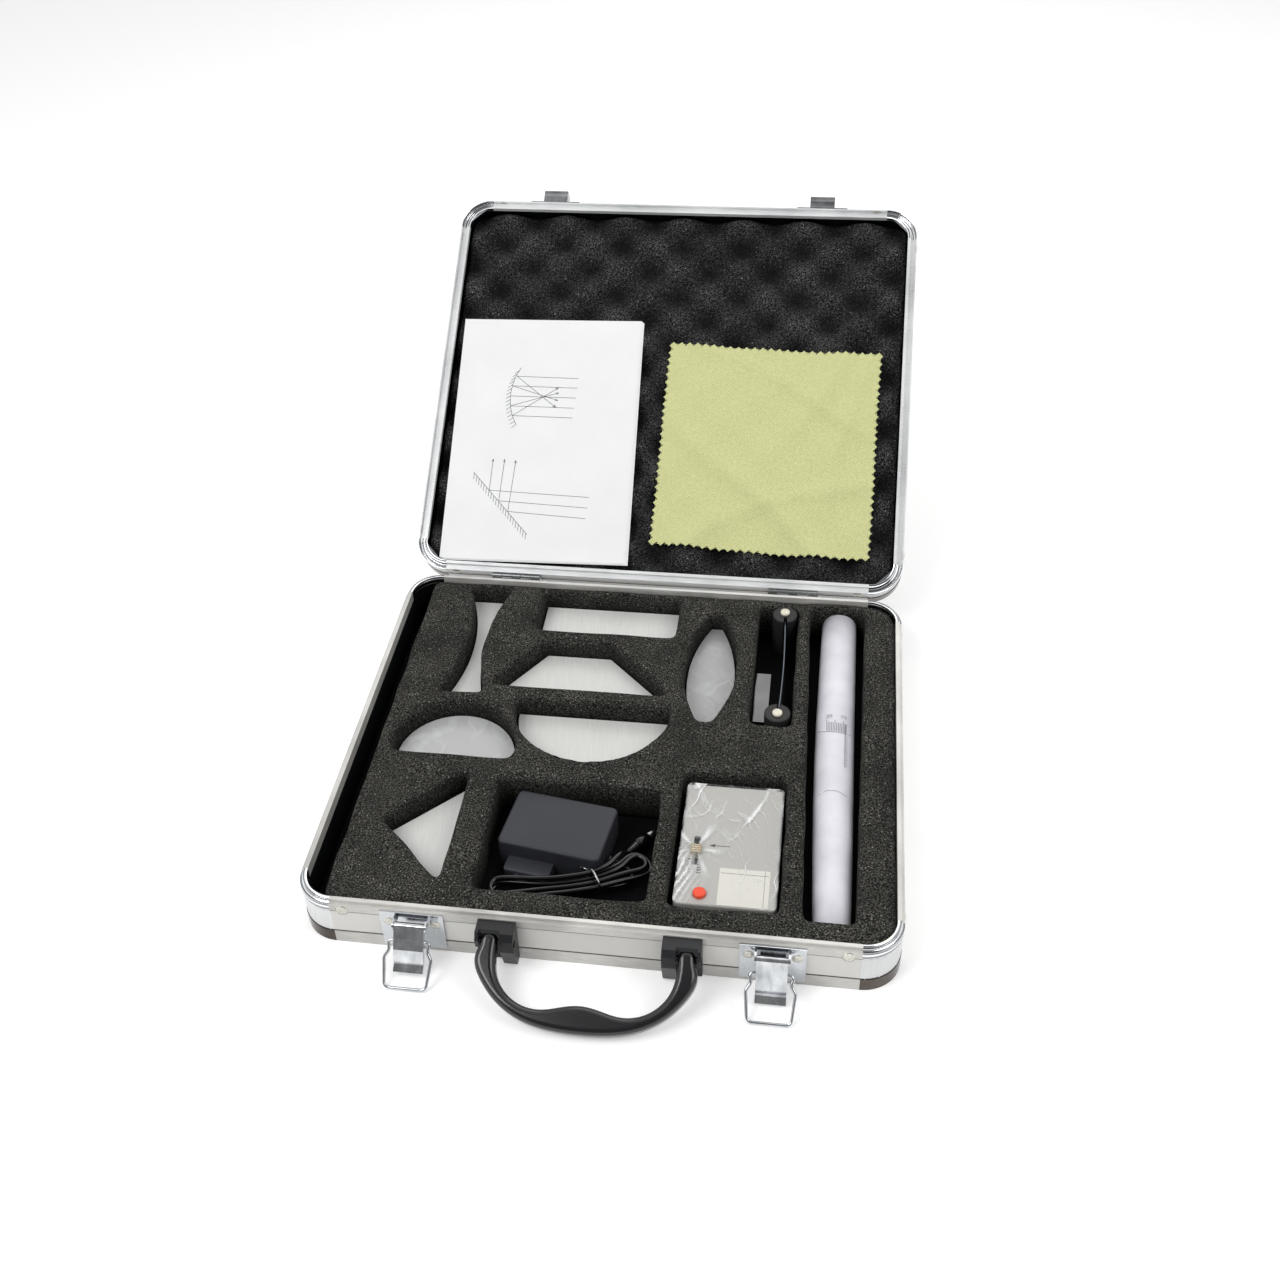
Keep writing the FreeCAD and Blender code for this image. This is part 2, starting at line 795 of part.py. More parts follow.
def wire_of(*edges):
    """A closed wire from edges in any order."""
    return Part.Wire(Part.__sortEdges__(list(edges)))


def handle_bracket(name, side):
    """A moulded bracket with a hood, an inner cheek and a thin outer cheek."""
    face = size("case_depth / 2")
    width = size("bracket_width")
    low = size("bracket_bottom")
    high = size("latch_plate_top")
    plate = size("bracket_plate")
    reach = size("bracket_reach")
    hood = size("bracket_hood")
    cheek = size("bracket_cheek")
    outer = size("bracket_outer_cheek")
    inner_x = side * (size("bracket_spacing / 2") - width / 2)

    def block(x_from, x_to, points):
        """Extrudes a side view of reach and height along X."""
        corner = [V(0, -face - out, z) for out, z in points]
        slab = Part.Face(Part.makePolygon(corner + corner[:1])).extrude(V(x_to - x_from, 0, 0))
        slab.translate(V(x_from, 0, 0))
        return slab

    def span(start, stop):
        """The two ends of a stretch of the bracket's width, lowest first."""
        return sorted((inner_x + side * start, inner_x + side * stop))

    pivot_z = size("handle_pivot_height")
    back = block(*span(0, width), [(0, low), (plate, low), (plate, high), (0, high)])
    shade = size("bracket_hood_reach")
    top = block(*span(0, width), [(plate, high - hood), (shade, high - hood), (shade - 1, high), (plate, high)])
    inner = block(*span(0, cheek), [(plate, low), (plate + 4, low), (reach, pivot_z - 5),
                                    (reach, high - 4), (reach - 3, high), (plate, high)])
    outside = block(*span(width - outer, width), [(plate, pivot_z - 4), (reach - 1, pivot_z - 3),
                                                  (reach, pivot_z + 4), (reach - 3, high), (plate, high)])
    solid = back.multiFuse([top, inner, outside]).removeSplitter()
    start, stop = span(0, width)
    pivot = V(start - 1, -face - size("handle_pivot_out"), pivot_z)
    bore = size("handle_trunnion + handle_fit")
    return made(name, solid.cut(Part.makeCylinder(bore, stop - start + 2, pivot, X_AXIS)))


# the handle's outer and finger-side edges as shares of its half length and of its reach
HANDLE_OUTER = [(0.976, 0.06), (0.998, 0.18), (0.905, 0.505), (0.723, 0.752), (0.482, 0.917), (0.19, 0.99)]
HANDLE_INNER = [(0.81, 0.2), (0.778, 0.396), (0.668, 0.604), (0.512, 0.723), (0.343, 0.747), (0.165, 0.695)]
HANDLE_MIDDLE = (1.0, 0.663)


def handle_edge(ends, shares, middle):
    """A smooth edge from the right-hand leg round the grip to the left-hand leg."""
    half = size("handle_half_length")
    reach = size("handle_reach")
    right = [ends] + [V(half * a, -reach * b, 0) for a, b in shares]
    left = [V(-point.x, point.y, 0) for point in reversed(right)]
    curve = Part.BSplineCurve()
    points = right + [V(0, -reach * middle, 0)] + left
    curve.interpolate(points)
    return curve.toShape()


def handle_shape():
    """A bowed grip with a finger hump, lying in the XY plane with its pivots on the X axis."""
    half = size("handle_half_length")
    leg = size("handle_leg_width")
    thick = size("handle_thickness")
    outer_end = V(half * 0.972, 0, 0)
    inner_end = V(half * 0.972 - leg, 0, 0)
    outer_edge = handle_edge(outer_end, HANDLE_OUTER, HANDLE_MIDDLE[0])
    inner_edge = handle_edge(inner_end, HANDLE_INNER, HANDLE_MIDDLE[1])
    caps = []
    for side in (-1, 1):
        middle = V(side * (outer_end.x + inner_end.x) / 2, leg / 2, 0)
        caps.append(Part.Arc(V(side * outer_end.x, 0, 0), middle, V(side * inner_end.x, 0, 0)).toShape())
    wire = wire_of(outer_edge, inner_edge, *caps)
    bar = Part.Face(wire).extrude(V(0, 0, thick))
    bar.translate(V(0, 0, -thick / 2))
    rim = [edge for edge in bar.Edges if abs(edge.BoundBox.ZLength) < 0.01]
    bar = bar.makeFillet(size("handle_round"), rim)
    studs = []
    for side in (-1, 1):
        start = side * size("bracket_spacing / 2") - size("bracket_width / 2 - 1")
        studs.append(Part.makeCylinder(size("handle_trunnion"), size("bracket_width - 2"), V(start, 0, 0), X_AXIS))
    return bar.multiFuse(studs).removeSplitter()


def make_handle():
    """The carry handle and its two brackets, the handle leaning down to the floor."""
    brackets = [handle_bracket("BracketLeft", -1), handle_bracket("BracketRight", 1)]
    keep("handle_brackets", group("Brackets", brackets))
    handle = made("HandleMoulding", handle_shape())
    pivot = V(0, -size("case_depth / 2 + handle_pivot_out"), size("handle_pivot_height"))
    keep("handle", handle, FreeCAD.Placement(pivot, FreeCAD.Rotation(X_AXIS, size("handle_rest_angle"))))


def latch_plate(name, side):
    """A plate with two lugs that carry the lever's pin."""
    centre = side * size("latch_spacing / 2")
    width = size("latch_plate_width")
    face = -size("case_depth / 2")
    low = size("latch_plate_bottom")
    high = size("latch_plate_top")
    thick = size("latch_plate_thickness")
    plate = Part.makeBox(width, thick, high - low, V(centre - width / 2, face - thick, low))
    pivot_y = face - size("latch_pivot_out")
    pivot_z = size("latch_pivot_height")
    lug_radius = size("lug_radius")
    lug = size("lug_thickness")
    inner = size("lever_width / 2 + lever_side_gap")
    solids = []
    for end in (-1, 1):
        x = centre + (inner if end > 0 else -inner - lug)
        ear = Part.makeCylinder(lug_radius, lug, V(x, pivot_y, pivot_z), X_AXIS)
        root = Part.makeBox(lug, size("latch_pivot_out") - thick, 2 * lug_radius)
        root.translate(V(x, pivot_y, pivot_z - lug_radius))
        solids += [ear, root]
    whole = plate.multiFuse(solids).removeSplitter()
    bore = size("latch_pin_radius + latch_pin_fit")
    hole = Part.makeCylinder(bore, width, V(centre - width / 2, pivot_y, pivot_z), X_AXIS)
    return made(name, whole.cut(hole))


def lever_body(label):
    """A lever that hangs from the X axis down -Z: a hub, a channel and a turned-out finger lip."""
    body = doc.addObject("PartDesign::Body", label)
    planes = {feature.Role: feature for feature in body.Origin.OriginFeatures}
    profile = [
        ("0 - lever_hub", "0"),
        ("0 - lever_hub - 0.5", "0 - lever_length * 0.24"),
        ("0 - lever_hub - 0.9", "0 - lever_length * 0.5"),
        ("0 - lever_hub - 0.4", "0 - lever_length * 0.76"),
        ("0 - lever_hub + 0.7", "0 - lever_length * 0.84"),
        ("0 - lever_hub - 1.2", "0 - lever_length"),
        ("0 - lever_hub + 0.2", "0 - lever_length"),
        ("0.5", "0 - lever_length * 0.82"),
        ("0.5", "0 - lever_length * 0.12"),
        ("lever_hub * 0.85", "0 - lever_hub * 0.5"),
        ("lever_hub * 0.85", "0"),
    ]
    sketch = outline(body, label + "Profile", profile)
    sketch.AttachmentSupport = (planes["YZ_Plane"], "")
    sketch.MapMode = "FlatFace"
    pad = body.newObject("PartDesign::Pad", label + "Pad")
    pad.Profile = sketch
    pad.Midplane = True
    pad.setExpression("Length", bound("lever_width"))
    channel = outline(body, label + "ChannelSketch", [
        ("0 - lever_hub - 0.5 + lever_skin", "0 - lever_length * 0.2"),
        ("lever_hub", "0 - lever_length * 0.2"),
        ("lever_hub", "0 - lever_length * 0.74"),
        ("0 - lever_hub - 0.5 + lever_skin", "0 - lever_length * 0.74"),
    ])
    channel.AttachmentSupport = (planes["YZ_Plane"], "")
    channel.MapMode = "FlatFace"
    pocket = body.newObject("PartDesign::Pocket", label + "Channel")
    pocket.Profile = channel
    pocket.Midplane = True
    pocket.setExpression("Length", bound("lever_width - 2 * lever_flange"))
    body.Tip = pocket
    return body


def latch_lever(label, side, rest):
    """A lever with its hub bore and bail holes, swung out to where it rests."""
    bar = lever_body(label + "_blank")
    hub = rod(label + "Hub", "0 - lever_width / 2", "0", "0", "lever_hub", "lever_width", ALONG_X)
    whole = fuse(label + "Whole", [bar, hub])
    bore = rod(label + "Bore", "0 - lever_width", "0", "0", "latch_pin_radius + latch_pin_fit",
               "2 * lever_width", ALONG_X)
    holes = rod(label + "BailHoles", "0 - lever_width", "0 - bail_pin_out", "0 - bail_pin_down",
                "bail_wire + bail_wire_fit", "2 * lever_width", ALONG_X)
    lever = cut(label + "Bored", whole, fuse(label + "Bores", [bore, holes]))
    keep(label, lever, lever_place(side, rest))


def lever_place(side, rest):
    """Where a lever's pivot is, swung outwards by its rest angle."""
    pivot = V(side * size("latch_spacing / 2"), -size("case_depth / 2 + latch_pivot_out"),
              size("latch_pivot_height"))
    return FreeCAD.Placement(pivot, FreeCAD.Rotation(X_AXIS, -size(rest)))


def rounded_path(points, radii):
    """Straight runs joined by tangent arcs, as edges in order."""
    edges = []
    start = points[0]
    for before, corner, after, radius in zip(points, points[1:], points[2:], radii):
        inward = (before - corner).normalize()
        outward = (after - corner).normalize()
        half_angle = inward.getAngle(outward) / 2
        back = radius / math.tan(half_angle)
        first = corner + inward * back
        last = corner + outward * back
        bisector = (inward + outward).normalize()
        middle = corner + bisector * (radius / math.sin(half_angle) - radius)
        edges.append(Part.makeLine(start, first))
        edges.append(Part.Arc(first, middle, last).toShape())
        start = last
    edges.append(Part.makeLine(start, points[-1]))
    return Part.Wire(edges)


def tube(path, radius):
    """A round section carried along a path."""
    start = path.Edges[0].Vertexes[0].Point
    along = path.Edges[0].tangentAt(path.Edges[0].FirstParameter)
    circle = Part.Wire([Part.makeCircle(radius, start, along)])
    return path.makePipeShell([circle], True, True)


def bail_shape():
    """A sprung wire loop that hangs from the X axis down -Z."""
    length = size("bail_length")
    start = size("lever_width / 2 - lever_flange + 0.2")
    right = [
        V(start, 0, 0),
        V(size("bail_ear"), 0, 0),
        V(size("bail_pinch"), 0, -length * 0.21),
        V(size("bail_shoulder"), 0, -length * 0.37),
        V(size("bail_end"), 0, -length),
    ]
    left = [V(-point.x, 0, point.z) for point in reversed(right)]
    radii = [2.2, 4.0, 4.0, 3.4, 3.4, 4.0, 4.0, 2.2]
    return tube(rounded_path(right + left, radii), size("bail_wire"))


def latch_bail(label, side, lever_rest, bail_rest):
    """A wire bail hung in its lever, swung out until it reaches the floor."""
    hang = lever_place(side, lever_rest)
    pin = hang.multVec(V(0, -size("bail_pin_out"), -size("bail_pin_down")))
    place = FreeCAD.Placement(pin, FreeCAD.Rotation(X_AXIS, -size(bail_rest)))
    keep(label, made(label + "Wire", bail_shape()), place)


def strike(name, side):
    """A plate on the lid's front with a box hook whose top groove takes the bail."""
    centre = side * size("latch_spacing / 2")
    face = -size("case_depth / 2")
    low = size(LID_SEAM + " + 0.6")
    thick = size("latch_plate_thickness")
    width = size("strike_width")
    plate = Part.makeBox(width, thick, size("strike_height"), V(centre - width / 2, face - thick, low))
    hook_width = size("strike_hook_width")
    out = size("strike_hook_out")
    wall = size("strike_wall")
    closed_bar = size("latch_pivot_height - bail_pin_down + bail_length")
    seat = closed_bar - size("bail_wire") - 0.3
    lip = closed_bar + size("bail_wire")
    points = [(0, low), (out, low), (out + 0.6, lip), (out - wall + 0.6, lip), (out - wall, seat),
              (1.2, seat), (1.2, seat + 1), (0, seat + 1)]
    corner = [V(centre - hook_width / 2, face - thick - reach, z) for reach, z in points]
    hook = Part.Face(Part.makePolygon(corner + corner[:1])).extrude(V(hook_width, 0, 0))
    return made(name, plate.fuse(hook).removeSplitter())


def make_latches():
    """Both latches with their levers and bails, and the strikes that they close on."""
    keep("latch_plates", group("LatchPlates", [latch_plate("LatchPlateLeft", -1), latch_plate("LatchPlateRight", 1)]))
    pins = []
    for side, start in (("Left", "0 - latch_spacing / 2"), ("Right", "latch_spacing / 2")):
        half = "(lever_width / 2 + lever_side_gap + lug_thickness)"
        pins.append(rod("LatchPin" + side, start + " - " + half, "0 - case_depth / 2 - latch_pivot_out",
                        "latch_pivot_height", "latch_pin_radius", "2 * " + half, ALONG_X))
    keep("latch_pins", group("LatchPins", pins))
    latch_lever("latch_lever_left", -1, "left_lever_rest")
    latch_lever("latch_lever_right", 1, "right_lever_rest")
    latch_bail("latch_bail_left", -1, "left_lever_rest", "left_bail_rest")
    latch_bail("latch_bail_right", 1, "right_lever_rest", "right_bail_rest")
    keep("latch_strikes", group("Strikes", [strike("StrikeLeft", -1), strike("StrikeRight", 1)]), lid_opened())


# ---------------------------------------------------------------------------------------------
# Acrylic optics: each shape serves for the piece and, with a clearance, for its pocket
# ---------------------------------------------------------------------------------------------
def face_prism(wire, z, height):
    """An upright solid on a closed wire."""
    solid = Part.Face(wire).extrude(V(0, 0, height))
    solid.translate(V(0, 0, z))
    return solid


def arc(first, middle, last):
    """An arc through three points given as pairs."""
    return Part.Arc(V(*first, 0), V(*middle, 0), V(*last, 0)).toShape()


def line(first, last):
    """A straight edge between two points given as pairs."""
    return Part.makeLine(V(*first, 0), V(*last, 0))


def biconcave_outline(room):
    """A waisted bar whose two long sides are hollow."""
    x, y = wide("biconcave_x"), deep("biconcave_y")
    half = deep("biconcave_length / 2") + room
    end = wide("biconcave_end_width / 2") + room
    waist = wide("biconcave_waist / 2") + room
    return wire_of(
        line((x - end, y + half), (x + end, y + half)),
        arc((x + end, y + half), (x + waist, y), (x + end, y - half)),
        line((x + end, y - half), (x - end, y - half)),
        arc((x - end, y - half), (x - waist, y), (x - end, y + half)),
    )


def biconvex_outline(room):
    """A lens shape with its two tips cut square."""
    x, y = wide("biconvex_x"), deep("biconvex_y")
    half = deep("biconvex_length / 2") + room
    tip = wide("biconvex_end / 2") + room / 2
    belly = wide("biconvex_width / 2") + room
    return wire_of(
        line((x - tip, y + half), (x + tip, y + half)),
        arc((x + tip, y + half), (x + belly, y), (x + tip, y - half)),
        line((x + tip, y - half), (x - tip, y - half)),
        arc((x - tip, y - half), (x - belly, y), (x - tip, y + half)),
    )


def half_moon_outline(room):
    """A thick plano-convex piece, flat to the front."""
    x, y = wide("half_moon_x"), deep("half_moon_y")
    reach = deep("half_moon_radius") + room
    back = deep("half_moon_back") + room
    half = (wide("half_moon_radius") + room) * math.sqrt(1 - (back / reach) ** 2)
    return wire_of(
        arc((x - half, y - back), (x, y + reach), (x + half, y - back)),
        line((x + half, y - back), (x - half, y - back)),
    )


def semicircle_outline(room):
    """A half disc, flat to the back."""
    x, y = wide("semicircle_x"), deep("semicircle_y") + room
    half = wide("semicircle_radius") + room
    reach = deep("semicircle_radius") + 2 * room
    return wire_of(
        arc((x - half, y), (x, y - reach), (x + half, y)),
        line((x + half, y), (x - half, y)),
    )


def polygon_outline(points):
    """A closed wire of straight edges."""
    corners_of = [V(x, y, 0) for x, y in points]
    return Part.makePolygon(corners_of + corners_of[:1])


def slab_outline(room):
    """The rectangular block."""
    x, y = wide("slab_x"), deep("slab_y")
    half = wide("slab_length / 2") + room
    rise = deep("slab_width / 2") + room
    return polygon_outline([(x - half, y - rise), (x + half, y - rise), (x + half, y + rise), (x - half, y + rise)])


def trapezoid_outline(room):
    """A trapezoid whose two sides lean outwards to the front."""
    front, back = deep("trapezoid_front"), deep("trapezoid_back")
    left, right = wide("trapezoid_back_left"), wide("trapezoid_back_right")
    depth = (back - front) / deep("1")
    left_foot = left - wide("1") * depth * math.tan(math.radians(size("trapezoid_left_lean")))
    right_foot = right + wide("1") * depth * math.tan(math.radians(size("trapezoid_right_lean")))
    return polygon_outline([
        (left - room, back + room),
        (right + room, back + room),
        (right_foot + 2 * room, front - room),
        (left_foot - 2 * room, front - room),
    ])


def prism_outline(room):
    """A right-angled prism whose long face stands to the right."""
    face = wide("prism_face") + room
    y = deep("prism_y")
    spread = room * (1 + math.sqrt(2))
    half = deep("prism_leg") / math.sqrt(2) + spread
    reach = wide("prism_leg") / math.sqrt(2) + spread
    return polygon_outline([(face, y + half), (face - reach, y), (face, y - half)])


OPTICS = {
    "biconcave_lens": biconcave_outline,
    "rectangular_block": slab_outline,
    "trapezoid_block": trapezoid_outline,
    "biconvex_lens": biconvex_outline,
    "plano_convex_lens": half_moon_outline,
    "semicircular_block": semicircle_outline,
    "right_angle_prism": prism_outline,
}


def make_optics():
    """Seven cast acrylic pieces, each standing on the floor pad in its pocket."""
    for label, shape in OPTICS.items():
        keep(label, made(label + "Solid", face_prism(shape(0), size(PAD_TOP), size("optic_thickness"))))


# ---------------------------------------------------------------------------------------------
# Foam and lining
# ---------------------------------------------------------------------------------------------
def make_foam():
    """Lining, floor pad, the cut foam insert and the lid's foam."""
    inside = "wall_inside"
    outer = rounded_plate("LiningOuter", "case_length - 2 * wall_inside", "case_depth - 2 * wall_inside",
                          "corner_radius - wall_inside", FLOOR_TOP, WEB_BOTTOM + " - (" + FLOOR_TOP + ")")
    inner = rounded_plate("LiningInner", "case_length - 2 * rim_width", "case_depth - 2 * rim_width",
                          "corner_radius - rim_width", FLOOR_TOP + " - 1",
                          WEB_BOTTOM + " - (" + FLOOR_TOP + ") + 2")
    keep("base_lining", cut("Lining", outer, inner))
    keep("foam_floor_pad", rounded_plate("FloorPad", "case_length - 2 * rim_width", "case_depth - 2 * rim_width",
                                         "corner_radius - rim_width", FLOOR_TOP, "pad_thickness"))

    low = size(PAD_TOP)
    rise = size("foam_top") - low
    reach = size("foam_top") + 5
    left = -wide("foam_left")
    right = size("case_length / 2 - rim_width - foam_fit")
    depth = size("case_depth - 2 * rim_width - 2 * foam_fit")
    block = Part.makeBox(right - left, depth, rise, V(left, -depth / 2, low))
    upright = [edge for edge in block.Edges if abs(edge.BoundBox.ZLength - rise) < 0.01]
    block = block.makeFillet(size("foam_corner"), [edge for edge in upright if edge.BoundBox.XMin < 0])
    upright = [edge for edge in block.Edges if abs(edge.BoundBox.ZLength - rise) < 0.01 and edge.BoundBox.XMin > right - 1]
    block = block.makeFillet(size("corner_radius - rim_width - foam_fit"), upright)
    tools = []
    for label, shape in OPTICS.items():
        room = size("prism_pocket_fit" if label == "right_angle_prism" else "pocket_fit")
        tools.append(face_prism(shape(room), low - 1, reach))
    for pocket in ("mirror_pocket", "box_pocket", "adapter_pocket"):
        x_from, x_to = wide(pocket + "_left"), wide(pocket + "_right")
        y_from, y_to = deep(pocket + "_front"), deep(pocket + "_back")
        tools.append(Part.makeBox(x_to - x_from, y_to - y_from, reach, V(x_from, y_from, low - 1)))
    channel = polygon_outline([
        (wide("channel_back_left"), deep("roll_back") + 1.5),
        (wide("channel_back_right"), deep("roll_back") + 1.5),
        (wide("channel_front_right"), deep("roll_front") - 1.5),
        (wide("channel_front_left"), deep("roll_front") - 1.5),
    ])
    tools.append(face_prism(channel, low - 1, reach))
    keep("foam_insert", made("FoamInsert", block.cut(tools)))

    lid = rounded_plate("LidFoam", "case_length - 2 * lid_rim_width - 2 * foam_fit",
                        "case_depth - 2 * lid_rim_width - 2 * foam_fit", "lid_foam_corner", "lid_foam_face",
                        LID_TOP + " - rail_wall - panel_thickness - lid_foam_face")
    keep("lid_foam", lid, lid_opened())


# ---------------------------------------------------------------------------------------------
# Mirror set and paper roll
# ---------------------------------------------------------------------------------------------
def make_mirror_set():
    """Two slotted posts with a sprung mirror strip between them, and a small flat mirror."""
    low = size(PAD_TOP)
    radius = size("post_radius")
    tall = size("post_height")
    x = wide("post_x")
    back, front = deep("post_back_y"), deep("post_front_y")
    strip = size("mirror_strip_thickness")
    start = V(x, front + radius * 0.45, 0)
    end = V(x, back - radius * 0.45, 0)
    bow = V(x + size("mirror_bow"), (back + front) / 2, 0)
    inside = Part.Arc(start, bow, end).toShape()
    outside = Part.Arc(start + V(strip, 0, 0), bow + V(strip, 0, 0), end + V(strip, 0, 0)).toShape()
    edges = [inside, outside, Part.makeLine(start, start + V(strip, 0, 0)), Part.makeLine(end, end + V(strip, 0, 0))]
    rise = (tall - size("mirror_strip_height")) / 2
    keep("mirror_strip", made("MirrorStrip", face_prism(wire_of(*edges), low + rise, size("mirror_strip_height"))))
    posts = []
    screws = []
    for y, inward in ((back, -1), (front, 1)):
        post = Part.makeCylinder(radius, tall, V(x, y, low))
        slot = size("mirror_slot")
        reach = radius * 0.6 + 1
        corner = V(x + strip / 2 - slot / 2 - 0.5, y + inward * radius * 0.4 if inward > 0 else y - radius - 1, low + rise)
        groove = Part.makeBox(slot + 1.4, reach, tall - rise + 1, corner)
        rim = [edge for edge in post.Edges if edge.BoundBox.ZLength < 0.01 and edge.BoundBox.ZMin > low + 1]
        post = post.makeFillet(1.0, rim).cut(groove)
        posts.append(post)
        top = V(x, y - inward * 1.2, low + tall)
        head = Part.makeCylinder(size("post_screw_radius"), size("post_screw_head"), top)
        head = head.makeChamfer(0.5, [edge for edge in head.Edges if edge.BoundBox.ZMin > top.z + 1])
        drive = Part.makeBox(2 * size("post_screw_radius"), 0.9, 0.8)
        drive.translate(top + V(-size("post_screw_radius"), -0.45, size("post_screw_head") - 0.8))
        screws.append(head.cut(drive))
    keep("mirror_posts", made("MirrorPosts", Part.makeCompound(posts + screws)))
    tile = Part.makeBox(size("flat_mirror_width"), deep("flat_mirror_length"), size("flat_mirror_thickness"))
    tile.translate(V(wide("mirror_pocket_left") + size("flat_mirror_gap"), deep("flat_mirror_front"), low))
    keep("flat_mirror", made("FlatMirror", tile))


def make_paper_roll():
    """A rolled sheet whose last turn ends in a step, lying in the foam channel."""
    x = wide("roll_x")
    radius = size("roll_radius")
    z = size(PAD_TOP) + radius + 0.1
    front, back = deep("roll_front"), deep("roll_back")
    length = back - front
    outside = Part.makeCylinder(radius, length, V(x, front, z), Y_AXIS)
    inside = Part.makeCylinder(size("roll_bore"), length + 2, V(x, front - 1, z), Y_AXIS)
    keep("paper_roll", made("PaperRoll", outside.cut(inside)))


# ---------------------------------------------------------------------------------------------
# Laser ray box
# ---------------------------------------------------------------------------------------------
def rounded_block(x_from, x_to, y_from, y_to, z_from, z_to, radius, top_round=0.0, low_round=0.0):
    """A block with rounded upright corners and, where asked, a rounded top or bottom edge."""
    block = Part.makeBox(x_to - x_from, y_to - y_from, z_to - z_from, V(x_from, y_from, z_from))
    rise = z_to - z_from
    upright = [edge for edge in block.Edges if abs(edge.BoundBox.ZLength - rise) < 0.01]
    block = block.makeFillet(radius, upright)
    if top_round:
        rim = [edge for edge in block.Edges if edge.BoundBox.ZLength < 0.01 and edge.BoundBox.ZMin > z_to - 0.01]
        block = block.makeFillet(top_round, rim)
    if low_round:
        rim = [edge for edge in block.Edges if edge.BoundBox.ZLength < 0.01 and edge.BoundBox.ZMax < z_from + 0.01]
        block = block.makeFillet(low_round, rim)
    return block


def box_edges():
    """The ray box's left, right, front and back faces."""
    x, y = wide("box_x"), deep("box_y")
    half_width, half_length = wide("box_width / 2"), deep("box_length / 2")
    return x - half_width, x + half_width, y - half_length, y + half_length


def boss_places():
    """Where the four case screws stand."""
    left, right, front, back = box_edges()
    inset = size("boss_inset")
    return [(x, y) for x in (left + inset, right - inset) for y in (front + inset, back - inset)]


def box_shells():
    """The two halves of the ray box, parted at mid-height, with bosses and openings."""
    left, right, front, back = box_edges()
    low, high = size(BOX_BOTTOM), size(BOX_TOP)
    middle = (low + high) / 2
    wall = size("box_wall")
    radius = size("box_round")
    hollow_radius = radius - wall
    boss = size("boss_radius")
    lower = rounded_block(left, right, front, back, low, middle, radius, low_round=0.8)
    lower = lower.cut(rounded_block(left + wall, right - wall, front + wall, back - wall, low + wall,
                                    middle + 1, hollow_radius))
    upper = rounded_block(left, right, front, back, middle, high, radius, top_round=1.4)
    upper = upper.cut(rounded_block(left + wall, right - wall, front + wall, back - wall, middle - 1,
                                    high - wall, hollow_radius))
    for x, y in boss_places():
        lower = lower.fuse(Part.makeCylinder(boss, middle - low - wall, V(x, y, low + wall)))
        upper = upper.fuse(Part.makeCylinder(boss, high - wall - middle, V(x, y, middle)))
    for x, y in boss_places():
        shank = size("screw_radius + screw_fit")
        head = size("screw_head_radius + screw_fit")
        lower = lower.cut(Part.makeCylinder(shank, middle - low + 1, V(x, y, low - 0.5)))
        lower = lower.cut(Part.makeCylinder(head, size("screw_head + 0.3") + 1, V(x, y, low - 1)))
        upper = upper.cut(Part.makeCylinder(shank, high - wall - middle - 1, V(x, y, middle - 0.5)))
    window = deep("window_length")
    tall = size("window_height")
    gap = Part.makeBox(wall + 2, window, tall, V(right - wall - 1, deep("box_y") - window / 2, middle - tall / 2))
    lower = lower.cut(gap)
    upper = upper.cut(gap)
    socket = Part.makeCylinder(size("socket_radius") + 0.9, wall + 2,
                               V(left - 1, deep("socket_y"), low + wall + size("socket_width / 2")), X_AXIS)
    lower = lower.cut(socket)
    slot_x, slot_y = wide("switch_x"), deep("switch_y")
    slot_long, slot_wide = size("switch_slot_length"), size("switch_slot_width")
    slot = Part.makeBox(slot_wide, slot_long, wall + 2, V(slot_x - slot_wide / 2, slot_y - slot_long / 2, high - wall - 1))
    upper = upper.cut(slot)
    hole = size("button_radius + slide_fit")
    upper = upper.cut(Part.makeCylinder(hole, wall + 2, V(wide("button_x"), deep("button_y"), high - wall - 1)))
    return lower.removeSplitter(), upper.removeSplitter()


